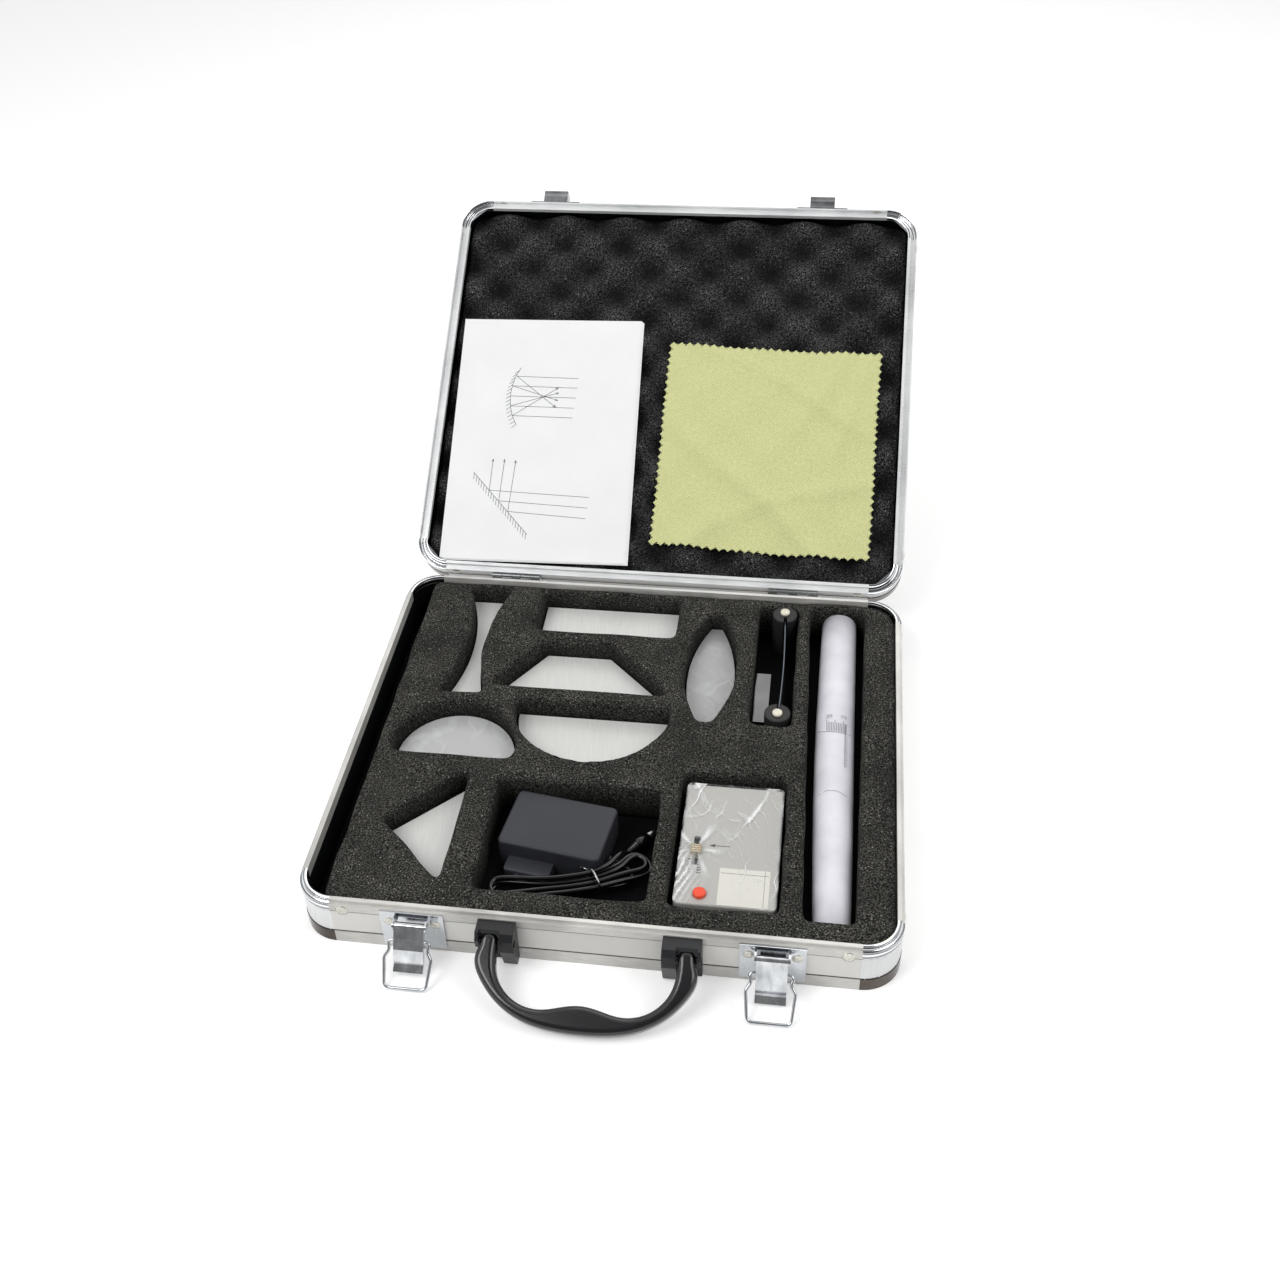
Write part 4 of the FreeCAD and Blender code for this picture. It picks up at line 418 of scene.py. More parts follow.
class RimBands(Effect):
    """Beads that run round the case's corners: rings about each corner's centre, stepped down the side too."""

    name = "rim_bands"
    inputs = (("Corner X", CORNER_CENTRE[0]), ("Corner Y", CORNER_CENTRE[1]), ("Bands per mm", 0.42), ("Fall", 0.7))

    @classmethod
    def draw(cls, bench: Bench, given: bpy.types.NodeOutputs) -> tuple[Socket, ...]:
        """Measure from the nearest corner's centre and make a sine of the distance.

        Args:
            bench: The group's bench.
            given: Its inputs.

        Returns:
            The mask and the height.
        """
        split = bench.put("ShaderNodeSeparateXYZ", {0: given["Place"]})
        over = []
        for axis, label in ((0, "Corner X"), (1, "Corner Y")):
            off = bench.math("SUBTRACT", bench.math("ABSOLUTE", split.outputs[axis]), given[label])
            over.append(bench.math("MAXIMUM", off, 0.0))
        out = bench.math("SQRT", bench.math("ADD", *(bench.product(reach, reach) for reach in over)))
        along = bench.math("MULTIPLY_ADD", split.outputs[2], given["Fall"], out)
        bead = bench.math("SINE", bench.product(along, given["Bands per mm"], FULL_TURN))
        # Painted shade and highlight: the mask darkens each bead's groove and lightens its crest, over the beads'
        # real relief.
        return bench.span(bead, -0.9, 0.4, smooth=True), bead


class Pattern(Enum):
    """The effect that a finish shows."""

    GRAIN = FineGrain
    STREAKS = DrawnStreaks
    CELLS = OpenCells
    BANDS = RimBands
    CREASES = FilmCreases
    WEAVE = PlainWeave


@dataclass(frozen=True)
class Finish:
    """A surface: two tones that a pattern mixes, with its gloss and relief."""

    name: str
    low: str
    high: str
    rough: tuple[float, float]
    pattern: Pattern = Pattern.GRAIN
    values: tuple[tuple[str, float], ...] = ()
    turn: Point = (0.0, 0.0, 0.0)
    relief: float = 0.02
    metallic: float = 0.0
    coat: float = 0.0
    specular: float = 0.5
    sheen: float = 0.0
    alpha: tuple[float, float] | None = None
    use_map: bool = False
    # darker and lighter name point attributes of painted shade and painted highlight: the first darkens the mask, the
    # second raises it.
    darker: str = ""
    lighter: str = ""
    shift: Point = (0.0, 0.0, 0.0)
    coat_rough: float = 0.12

    def make(self) -> bpy.types.Material:
        """Build the material the first time, and find it again later.

        Returns:
            The material.
        """
        found = bpy.data.materials.get(self.name)
        if found:
            return found
        material = bpy.data.materials.new(self.name)
        bench = Bench.fresh(material)
        shader = bench.put("ShaderNodeBsdfPrincipled")
        bench.put("ShaderNodeOutputMaterial", {"Surface": shader.outputs[0]})
        mask, height = self.pattern_of(bench)
        # Painted shade: the attribute that darker names darkens the mask, as in the foam's pockets and hollows.
        if self.darker:
            depth = bench.put("ShaderNodeAttribute", attribute_name=self.darker).outputs["Fac"]
            mask = bench.product(mask, bench.math("SUBTRACT", 1.0, depth))
        # Painted highlight: the attribute that lighter names raises the mask, as the glints on the clear bag do.
        if self.lighter:
            fold = bench.put("ShaderNodeAttribute", attribute_name=self.lighter).outputs["Fac"]
            mask = bench.math("MAXIMUM", mask, fold)
        tones = bench.put("ShaderNodeMix", {0: mask, 6: tint(self.low), 7: tint(self.high)}, data_type="RGBA")
        bench.tree.links.new(tones.outputs[2], shader.inputs["Base Color"])
        rough = bench.span(mask, 0.0, 1.0, self.rough[0], self.rough[1])
        bench.tree.links.new(rough, shader.inputs["Roughness"])
        if self.relief:
            bump = bench.put("ShaderNodeBump", {"Height": height, "Strength": 1.0, "Distance": self.relief * MM})
            bench.tree.links.new(bump.outputs[0], shader.inputs["Normal"])
        for label, value in (("Metallic", self.metallic), ("Specular IOR Level", self.specular),
                             ("Coat Weight", self.coat), ("Coat Roughness", self.coat_rough),
                             ("Sheen Weight", self.sheen)):
            shader.inputs[label].default_value = value
        if self.alpha:
            shown = bench.span(mask, 0.0, 1.0, self.alpha[0], self.alpha[1])
            bench.tree.links.new(shown, shader.inputs["Alpha"])
        material.diffuse_color = tint(self.high)
        return material

    def pattern_of(self, bench: Bench) -> tuple[Socket, Socket]:
        """Place the pattern on the object's own coordinates, or on its map, in millimetres.

        Args:
            bench: The material's bench.

        Returns:
            The mask's socket and the height's socket.
        """
        source = bench.put("ShaderNodeTexCoord").outputs["UV" if self.use_map else "Object"]
        scale = (1.0 if self.use_map else 1 / MM,) * 3
        where = bench.put("ShaderNodeMapping", {"Vector": source, "Scale": scale, "Location": self.shift,
                                                "Rotation": tuple(math.radians(a) for a in self.turn)})
        node = self.pattern.value.place(bench, where.outputs[0], **dict(self.values))
        return node.outputs["Mask"], node.outputs["Height"]


def grained(name: str, low: str, high: str, rough: tuple[float, float], grain: float, contrast: float,
            cloud: float = 0.02, **looks: float) -> Finish:
    """Return a finish with a fine grain.

    Args:
        name: The finish's name.
        low: Its darker tone.
        high: Its lighter tone.
        rough: Its roughness from the darker tone to the lighter one.
        grain: Waves of the grain in each millimetre.
        contrast: The grain's share against the slow clouds.
        cloud: Waves of the clouds in each millimetre.
        looks: The finish's other fields.

    Returns:
        The finish.
    """
    values = (("Grain per mm", grain), ("Cloud per mm", cloud), ("Contrast", contrast))
    return Finish(name, low, high, rough, Pattern.GRAIN, values, **looks)


def streaks(name: str, low: str, high: str, turn: Point = (0.0, 0.0, 0.0)) -> Finish:
    """Return a satin anodised finish whose drawing streaks run along X before the turn."""
    return Finish(name, low, high, (0.26, 0.42), Pattern.STREAKS, (("Streaks per mm", 4.0),), turn, relief=0.01,
                  metallic=0.3)


def beaded(name: str, low: str, high: str, lid: bool) -> Finish:
    """Return a chrome whose beads run round the case's corners.

    Args:
        name: The finish's name.
        low: Its darker tone.
        high: Its lighter tone.
        lid: It is for the opened lid's corners, not the base's.

    Returns:
        The finish.
    """
    turn, (y, z) = math.radians(LID_ANGLE if lid else 0.0), HINGE_LINE
    back = (0.0, y - (y * math.cos(turn) - z * math.sin(turn)), z - (y * math.sin(turn) + z * math.cos(turn)))
    return Finish(name, low, high, (0.05, 0.14), Pattern.BANDS, (("Bands per mm", 0.4),),
                  (LID_ANGLE if lid else 0.0, 0.0, 0.0), relief=0.22, metallic=1.0, shift=back)


def foam(name: str, low: str, high: str, cells: tuple[float, ...], relief: float) -> Finish:
    """Return an open-cell foam, drawn darker with its depth as painted shade.

    Args:
        name: The finish's name.
        low: The tone of its pores.
        high: The tone of its glints.
        cells: The values of the effect's inputs, in the order of their labels.
        relief: The pores' height in millimetres.

    Returns:
        The finish.
    """
    labels = ("Glints per mm", "Glints", "Sparse", "Mottle per mm", "Mottle")
    return Finish(name, low, high, (0.94, 1.0), Pattern.CELLS, tuple(zip(labels, cells)), relief=relief,
                  specular=0.08, darker="depth")


def filmed(name: str, low: str, high: str) -> Finish:
    """Return the creased protective film on a lens."""
    return Finish(name, low, high, (0.24, 0.42), Pattern.CREASES,
                  (("Creases per mm", 0.05), ("Fade per mm", 0.04), ("Width", 0.1)), relief=0.14, coat=0.1)


# RAIL and LID_RAIL are one drawn aluminium in two tones: the lid's lighter copy is painted light that makes up for
# the dim room its open rails mirror.
RAIL = streaks("drawn_rail", "A3A29F", "E2E0DB")
LID_RAIL = streaks("drawn_lid_rail", "CDCFD0", "F6F7F7")
RAIL_UPRIGHT = streaks("drawn_post", "D3D4D4", "E9EAEA", (0.0, 90.0, 0.0))
SEAM = grained("seam_shadow", "34322F", "5A5753", (0.6, 0.8), grain=0.8, contrast=0.5, relief=0.0)
SKIN = grained("silver_skin", "CBCAC6", "E4E3DF", (0.34, 0.55), grain=2.6, contrast=0.85, cloud=0.03, relief=0.05,
               metallic=0.35)
CHROME = grained("bright_chrome", "A4A7AA", "DDE0E3", (0.05, 0.12), grain=0.5, contrast=0.2, relief=0.002,
                 metallic=1.0)
# The corner chrome's beads are real relief; its darker grooves and lighter crests are painted shade and highlight.
RIM_CHROME = beaded("beaded_chrome", "7E8184", "F0F2F4", lid=False)
LID_RIM_CHROME = beaded("beaded_lid_chrome", "7E8184", "FAFBFC", lid=True)
# The lever chrome's broad light and dark streaks are painted reflections over a gentle real relief.
LEVER = Finish("pressed_chrome", "A2A5A8", "E2E4E6", (0.05, 0.14), Pattern.STREAKS,
               (("Streaks per mm", 0.2), ("Along", 0.3), ("Cloud per mm", 0.05)), turn=(0.0, 90.0, 0.0),
               relief=0.1, metallic=1.0)
SMOKED = grained("smoked_chrome", "37332F", "6A625B", (0.08, 0.24), grain=0.4, contrast=0.3, relief=0.002,
                 metallic=1.0)
STEEL = grained("plated_steel", "7F8183", "C6C8C9", (0.14, 0.3), grain=0.8, contrast=0.4, relief=0.004, metallic=1.0)
# The strike plates' strong light and dark streaks are painted reflections over a fine real streak relief.
STRIKE = Finish("stamped_strike", "3A3C3F", "C6C8CA", (0.14, 0.3), Pattern.STREAKS,
                (("Streaks per mm", 0.42), ("Along", 0.01), ("Cloud per mm", 0.05)), relief=0.1, metallic=1.0)
RIVET = grained("cream_rivet", "A3A096", "E9E7DC", (0.16, 0.3), grain=0.9, contrast=0.5, relief=0.01, metallic=0.7)
GLOSS_BLACK = grained("moulded_black", "07080A", "141518", (0.14, 0.26), grain=1.1, contrast=0.3, relief=0.01,
                      coat=0.3)
BRACKET = grained("moulded_bracket", "1A1B1C", "27282A", (0.3, 0.44), grain=1.4, contrast=0.4, specular=0.3)
SATIN_BLACK = grained("satin_black", "1C1B1C", "2F2E2E", (0.42, 0.56), grain=2.2, contrast=0.5, relief=0.03,
                      specular=0.3)
ADAPTER = grained("moulded_adapter", "2C2D32", "393A40", (0.4, 0.5), grain=1.8, contrast=0.5, specular=0.3)
BED_FOAM = foam("bed_foam", "141412", "BDBBB3", (0.5, 0.68, 0.52, 0.95, 0.26), relief=0.35)
LID_FOAM = foam("lid_foam", "0B0B0C", "B4B4B2", (0.4, 0.6, 0.7, 0.95, 0.29), relief=0.3)
LINING = grained("black_lining", "040506", "0D0E11", (0.7, 0.85), grain=1.4, contrast=0.6, relief=0.04, specular=0.1)
ACRYLIC = Finish("filmed_acrylic", "CECFCB", "D9DAD6", (0.3, 0.44), Pattern.STREAKS,
                 (("Streaks per mm", 0.6), ("Along", 0.1), ("Cloud per mm", 0.03)), turn=(0, 0, 84.0),
                 relief=0.008, coat=0.1)
LENS_FILM = filmed("filmed_lens", "B5B6B5", "C8C9CB")
BICONVEX_FILM = filmed("filmed_thick_lens", "A0A1A0", "B6B7B9")
# The flat mirror is drawn as a dim dark grey silver, and the silvered band as matte dark blue-grey: both tones are
# painted reflections of the dark foam around them.
MIRROR = grained("silvered_mirror", "4A4B4C", "6C6C6B", (0.04, 0.12), grain=0.05, contrast=0.2, relief=0.0,
                 metallic=1.0)
BAND = grained("silvered_band", "4E555D", "7C848C", (0.4, 0.5), grain=0.2, contrast=0.2, relief=0.0, specular=0.2)
IVORY = grained("ivory_screw", "CFC9B4", "E6E2D2", (0.3, 0.45), grain=1.0, contrast=0.4, relief=0.01)
PAPER = grained("white_paper", "EAEBEA", "F0F1F0", (0.7, 0.85), grain=1.6, contrast=0.3, cloud=0.03, relief=0.015)
CHART_PAPER = grained("chart_paper", "D5D4DC", "E9E8EF", (0.42, 0.6), grain=1.4, contrast=0.25, cloud=0.05)
INK = grained("printed_ink", "2A2A2E", "55555B", (0.55, 0.7), grain=3.0, contrast=0.8, relief=0.0)
PALE_INK = grained("pale_ink", "5C5C68", "80808C", (0.55, 0.7), grain=3.0, contrast=0.8, relief=0.0)
CLOTH = Finish("microfibre", "BFC282", "DCDEA8", (0.85, 0.97), Pattern.WEAVE,
               (("Threads per mm", 0.5), ("Slub", 0.8)), relief=0.12, specular=0.2, sheen=0.2, use_map=True)
SHELL = grained("grey_shell", "A7A6A1", "B9B7B2", (0.4, 0.52), grain=2.0, contrast=0.5)
LABEL = grained("cream_label", "D2D0C6", "DFDCD2", (0.35, 0.5), grain=1.2, contrast=0.3, relief=0.01)
ORANGE = grained("orange_cap", "DE3A1A", "F0502A", (0.3, 0.42), grain=1.2, contrast=0.4, relief=0.01)
BOARD = grained("green_board", "05100A", "0C2416", (0.4, 0.6), grain=0.6, contrast=0.4)
BRASS = Finish("turned_brass", "A8823C", "D4B264", (0.2, 0.36), Pattern.STREAKS, (("Streaks per mm", 3.0),),
               turn=(0, 0, 90.0), relief=0.01, metallic=1.0)
KNOB = grained("brassy_knob", "8C7A5C", "CFC3A6", (0.25, 0.4), grain=0.7, contrast=0.5, relief=0.01, metallic=0.3)
WINDOW = grained("smoked_window", "2A0D0D", "4A1512", (0.1, 0.2), grain=0.6, contrast=0.3, relief=0.0)
# The clear bag: its crease relief is real, but the white, nearly opaque crease lines and the marked fold attribute
# are painted highlights.
BAG = Finish("clear_film", "DDE0E2", "FFFFFF", (0.06, 0.18), Pattern.CREASES,
             (("Creases per mm", 0.045), ("Fade per mm", 0.03), ("Width", 0.024)), relief=0.4, specular=0.8,
             alpha=(0.05, 0.78), lighter="fold")
CORD_SKIN = grained("cord_skin", "030304", "0C0C0F", (0.16, 0.28), grain=0.9, contrast=0.3, relief=0.01, coat=0.12)

NODE_FINISHES: dict[str, Finish] = {name: finish for finish, names in (
    (SKIN, ("base_bottom_panel", "base_wall_panels", "lid_top_panel", "lid_wall_panels")),
    (RAIL, ("base_edge_rails",)),
    (LID_RAIL, ("lid_edge_rails",)),
    (RAIL_UPRIGHT, ("base_corner_posts", "lid_corner_posts")),
    (RIM_CHROME, ("base_rim_corners",)),
    (LID_RIM_CHROME, ("lid_rim_corners",)),
    (SMOKED, ("base_bottom_corners", "lid_top_corners")),
    (CHROME, ("latch_plates", "latch_bail_left", "latch_bail_right")),
    (STEEL, ("latch_pins", "hinge_base_leaves", "hinge_pins", "hinge_lid_leaves", "ray_box_screws",
             "adapter_prongs")),
    (STRIKE, ("latch_strikes",)),
    (LEVER, ("latch_lever_left", "latch_lever_right")),
    (LINING, ("base_lining", "foam_floor_pad")),
    (BRACKET, ("handle_brackets",)),
    (GLOSS_BLACK, ("handle",)),
    (ACRYLIC, ("biconcave_lens", "rectangular_block", "trapezoid_block", "semicircular_block",
               "right_angle_prism")),
    (BICONVEX_FILM, ("biconvex_lens",)),
    (LENS_FILM, ("plano_convex_lens",)),
    (SATIN_BLACK, ("mirror_posts", "ray_box_socket")),
    (MIRROR, ("flat_mirror",)),
    (SHELL, ("ray_box_lower_shell", "ray_box_cover")),
    (BOARD, ("ray_box_circuit_board",)),
    (BRASS, ("laser_modules",)),
    (WINDOW, ("ray_box_window",)),
    (KNOB, ("slide_switch_knob",)),
    (ORANGE, ("push_button",)),
    (ADAPTER, ("adapter_housing",)),
) for name in names}


# ------------ Mesh helpers ------------
def linked(name: str, data: bpy.types.ID) -> Piece:
    """Make an object of a mesh, a curve, a camera or a lamp, and put it in the scene.

    Args:
        name: The object's name.
        data: What it holds.

    Returns:
        The object.
    """
    made = bpy.data.objects.new(name, data)
    bpy.context.scene.collection.objects.link(made)
    return made


def clad(target: Piece, finish: Finish, smooth: bool = True) -> None:
    """Give all of a mesh one finish, shaded smooth or flat.

    Args:
        target: The mesh piece.
        finish: The surface it gets.
        smooth: Shade it smooth.
    """
    target.data.materials.clear()
    target.data.materials.append(finish.make())
    target.data.polygons.foreach_set("use_smooth", [smooth] * len(target.data.polygons))


def piece_of(name: str, points: np.ndarray, faces: Iterable[Sequence[int]], finish: Finish, smooth: bool = True,
             closed: bool = True, flat_map: np.ndarray | None = None) -> Piece:
    """Make one mesh piece with its place in its mesh.

    Args:
        name: The piece's name.
        points: One row for each point, in millimetres.
        faces: The corners of each face.
        finish: The surface it gets.
        smooth: Shade it smooth.
        closed: It is a closed shell, so its faces are turned outwards.
        flat_map: One row of U and V for each point, in millimetres.

    Returns:
        The new object, linked to the scene.
    """
    mesh = bpy.data.meshes.new(name)
    mesh.from_pydata((np.asarray(points, float) * MM).tolist(), [], [tuple(int(i) for i in f) for f in faces])
    mesh.validate()
    if flat_map is not None:
        layer = mesh.uv_layers.new(name="flat")
        corners = np.zeros(len(mesh.loops), np.int32)
        mesh.loops.foreach_get("vertex_index", corners)
        layer.data.foreach_set("uv", np.asarray(flat_map, np.float32)[corners].ravel())
    made = linked(name, mesh)
    clad(made, finish, smooth)
    if closed:
        face_outwards(made)
    return made


def grid_faces(columns: int, rows: int, closed: bool = False) -> list[tuple[int, int, int, int]]:
    """Return the quads of a grid whose points go row by row.

    Args:
        columns: Points in each row.
        rows: Number of rows.
        closed: Join each row's last point to its first.

    Returns:
        The four corners of each quad.
    """
    faces = []
    for r in range(rows - 1):
        for c in range(columns if closed else columns - 1):
            d = (c + 1) % columns
            faces.append((r * columns + c, r * columns + d, (r + 1) * columns + d, (r + 1) * columns + c))
    return faces


def sheet_faces(columns: int, rows: int) -> list[tuple[int, ...]]:
    """Return the faces of a closed sheet, made of two grids and the rim between them.

    Args:
        columns: Points along each row.
        rows: Rows of each grid; the second grid's points follow the first one's.

    Returns:
        The faces, as indices of the points.
    """
    count = columns * rows
    near = list(grid_faces(columns, rows))
    rim = [r * columns for r in range(rows)] + [(rows - 1) * columns + c for c in range(1, columns)]
    rim += [r * columns + columns - 1 for r in range(rows - 2, -1, -1)] + list(range(columns - 2, 0, -1))
    sides = [(a, b, b + count, a + count) for a, b in zip(rim, rim[1:] + rim[:1])]
    return near + [tuple(i + count for i in f[::-1]) for f in near] + sides


def tube_faces(sides: int, rows: int) -> list[tuple[int, ...]]:
    """Return the faces of a tube with both its ends capped.

    Args:
        sides: Points round each ring.
        rows: Number of rings.

    Returns:
        The faces, as indices of the points.
    """
    last = (rows - 1) * sides
    return [*grid_faces(sides, rows, closed=True), tuple(range(sides))[::-1], tuple(range(last, last + sides))]


def joined(moulds: Sequence[Mould]) -> Mould:
    """Put several sets of points and faces together.

    Args:
        moulds: The points and the faces of each.

    Returns:
        All points and all faces.
    """
    faces, start = [], 0
    for points, these in moulds:
        faces += [tuple(start + i for i in face) for face in these]
        start += len(points)
    return np.concatenate([points for points, _ in moulds]), faces


def prism(plan: Sequence[tuple[float, float]], low: float, high: float) -> Mould:
    """Return an upright prism.

    Args:
        plan: The corners of its plan, in turn.
        low: The height of its foot.
        high: The height of its top.

    Returns:
        The points and the faces.
    """
    return np.array([(x, y, z) for z in (low, high) for x, y in plan]), tube_faces(len(plan), 2)


def strips(lines: Iterable[Line], wide: float, longest: float) -> Mould:
    """Return printed lines as flat strips, cut short enough to bend with what they lie on.

    Args:
        lines: Each line's two ends.
        wide: The width of a strip.
        longest: The length past which a strip is cut.

    Returns:
        The places on the flat and the faces.
    """
    places, faces = [], []
    for x1, y1, x2, y2 in lines:
        span = math.hypot(x2 - x1, y2 - y1)
        parts = max(1, int(span / longest))
        nx, ny = -(y2 - y1) / span * wide / 2, (x2 - x1) / span * wide / 2
        for k in range(parts + 1):
            x, y = x1 + (x2 - x1) * k / parts, y1 + (y2 - y1) * k / parts
            places += [(x + nx, y + ny), (x - nx, y - ny)]
            if k:
                i = len(places)
                faces.append((i - 4, i - 3, i - 1, i - 2))
    return np.array(places), faces


def chained(places: Sequence[tuple[float, float]]) -> list[Line]:
    """Return the lines that join places in turn."""
    return [(*a, *b) for a, b in zip(places, places[1:])]


def thicken(target: Piece, wall: float, offset: float = -1.0) -> None:
    """Give a sheet its thickness.

    Args:
        target: The sheet.
        wall: Its thickness in millimetres.
        offset: The side that it grows to, 1 along its normals and -1 against them.
    """
    thick = target.modifiers.new("thickness", "SOLIDIFY")
    thick.thickness = wall * MM
    thick.offset = offset


def wire(name: str, runs: Iterable[Iterable[Point]], diameter: float, roundness: int) -> Piece:
    """Make round wires that follow smooth splines.

    Args:
        name: The curve's name.
        runs: The control points of each wire, in millimetres.
        diameter: Their thickness.
        roundness: How many steps their section gets.

    Returns:
        The curve's object.
    """
    data = bpy.data.curves.new(name, "CURVE")
    data.dimensions = "3D"
    data.bevel_depth = diameter / 2 * MM
    data.bevel_resolution = roundness
    data.resolution_u = 6
    data.use_fill_caps = True
    for run in map(list, runs):
        spline = data.splines.new("NURBS")
        spline.points.add(len(run) - 1)
        for knot, (x, y, z) in zip(spline.points, run):
            knot.co = (x * MM, y * MM, z * MM, 1.0)
        spline.order_u = 3
        spline.use_endpoint_u = True
    return linked(name, data)


def face_outwards(target: Piece) -> None:
    """Turn the faces of a closed mesh outwards.

    Args:
        target: The mesh piece.
    """
    work = bmesh.new()
    work.from_mesh(target.data)
    bmesh.ops.recalc_face_normals(work, faces=work.faces)
    work.to_mesh(target.data)
    work.free()


def frozen(source: Piece, name: str) -> Piece:
    """Turn an object with live modifiers, or a curve, into a plain mesh piece and remove the source.

    Args:
        source: The object.
        name: The new piece's name.

    Returns:
        The new piece.
    """
    bpy.context.view_layer.update()
    graph = bpy.context.evaluated_depsgraph_get()
    mesh = bpy.data.meshes.new_from_object(source.evaluated_get(graph))
    mesh.name = name
    bpy.data.objects.remove(source)
    return linked(name, mesh)


def merged_copy(node: Piece, name: str) -> Piece:
    """Copy a CAD node as one joined-up mesh, with its doubles merged.

    Args:
        node: The CAD node's object.
        name: The copy's name.

    Returns:
        The copy.
    """
    work = bmesh.new()
    work.from_mesh(node.data)
    bmesh.ops.remove_doubles(work, verts=work.verts, dist=WELD * MM)
    mesh = bpy.data.meshes.new(name)
    work.to_mesh(mesh)
    work.free()
    return linked(name, mesh)


def remeshed(copy: Piece, name: str, cell: float) -> Piece:
    """Turn a closed mesh into an even one of small quads.

    Args:
        copy: The mesh, which is used up.
        name: The new piece's name.
        cell: Size of a quad in millimetres.

    Returns:
        The new piece.
    """
    grid = copy.modifiers.new("even", "REMESH")
    grid.mode = "VOXEL"
    grid.voxel_size = cell * MM
    return frozen(copy, name)


def points_of(target: Piece) -> np.ndarray:
    """Read a mesh's points.

    Args:
        target: The mesh piece.

    Returns:
        One row for each point, in millimetres.
    """
    flat = np.zeros(len(target.data.vertices) * 3)
    target.data.vertices.foreach_get("co", flat)
    return flat.reshape(-1, 3) / MM


def set_points(target: Piece, points: np.ndarray) -> None:
    """Write a mesh's points, given in millimetres."""
    target.data.vertices.foreach_set("co", (points * MM).ravel())
    target.data.update()


def mark(target: Piece, name: str, values: np.ndarray) -> None:
    """Store one number for each of a mesh's points under a name that a finish reads."""
    layer = target.data.attributes.new(name, "FLOAT", "POINT")
    layer.data.foreach_set("value", np.clip(values, 0.0, 1.0).astype(np.float32))


def relaxed(target: Piece, rounds: int, share: np.ndarray) -> None:
    """Ease each point towards the mean of its neighbours.

    Args:
        target: The mesh piece.
        rounds: How many times.
        share: Each point's freedom, from 0 to 1.
    """
    ends = np.zeros(len(target.data.edges) * 2, np.int64)
    target.data.edges.foreach_get("vertices", ends)
    a, b = ends.reshape(-1, 2).T
    points = points_of(target)
    free = share[:, None]
    count = np.bincount(np.concatenate([a, b]), minlength=len(points))[:, None]
    for _ in range(rounds):
        total = np.zeros_like(points)
        np.add.at(total, a, points[b])
        np.add.at(total, b, points[a])
        points = points + 0.5 * free * (total / np.maximum(count, 1) - points)
    set_points(target, points)


def ramp(values: np.ndarray, start: float, end: float) -> np.ndarray:
    """Return 0 up to the start, 1 from the end, and a straight rise between them."""
    return np.clip((values - start) / (end - start), 0.0, 1.0)


def bell(*offsets: np.ndarray) -> np.ndarray:
    """Return 1 where all offsets are zero, and less the farther off they are."""
    return np.exp(-sum(offset**2 for offset in offsets))


def waves(points: np.ndarray, pitch: float, seed: float) -> np.ndarray:
    """Return a slow unrepeating wave from about -1 to 1 for each point.

    Args:
        points: Rows of X, Y, Z in millimetres.
        pitch: Length of a wave in millimetres.
        seed: Shifts the pattern.

    Returns:
        One value for each point.
    """
    x, y, z = points.T * (FULL_TURN / pitch)
    total = np.sin(x + 1.7 * seed + 0.8 * np.sin(0.61 * y + seed))
    total += np.sin(1.13 * y - 0.9 * seed + 0.7 * np.sin(0.73 * x - 2.1 * seed))
    total += np.sin(0.77 * x - 0.83 * y + 1.21 * z + 2.3 * seed)
    return total / 3


@dataclass
class Kit:
    """The loaded frame, which carries every piece."""

    frame: dict

    def node(self, name: str) -> Piece:
        """Return a CAD node's object."""
        return self.frame["nodes"][name]

    def add(self, piece: Piece, body: str, *nodes: str, slot: str | None = None) -> Piece:
        """Let a finished piece ride on a body, in place of the nodes that it stands for.

        Args:
            piece: The finished piece.
            body: The CAD body that carries it.
            nodes: The CAD nodes that it replaces.
            slot: The record's material slot; not used.

        Returns:
            The piece.
        """
        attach(piece, body)
        if nodes:
            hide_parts(*nodes)
        LOG.info("%s: %d points on %s", piece.name, len(getattr(piece.data, "vertices", [])), body)
        return piece

    def dress(self, name: str, finish: Finish) -> None:
        """Give a CAD node its finish.

        Args:
            name: The node's name.
            finish: The surface it gets.
        """
        materials = self.node(name).data.materials
        materials.clear()
        materials.append(finish.make())


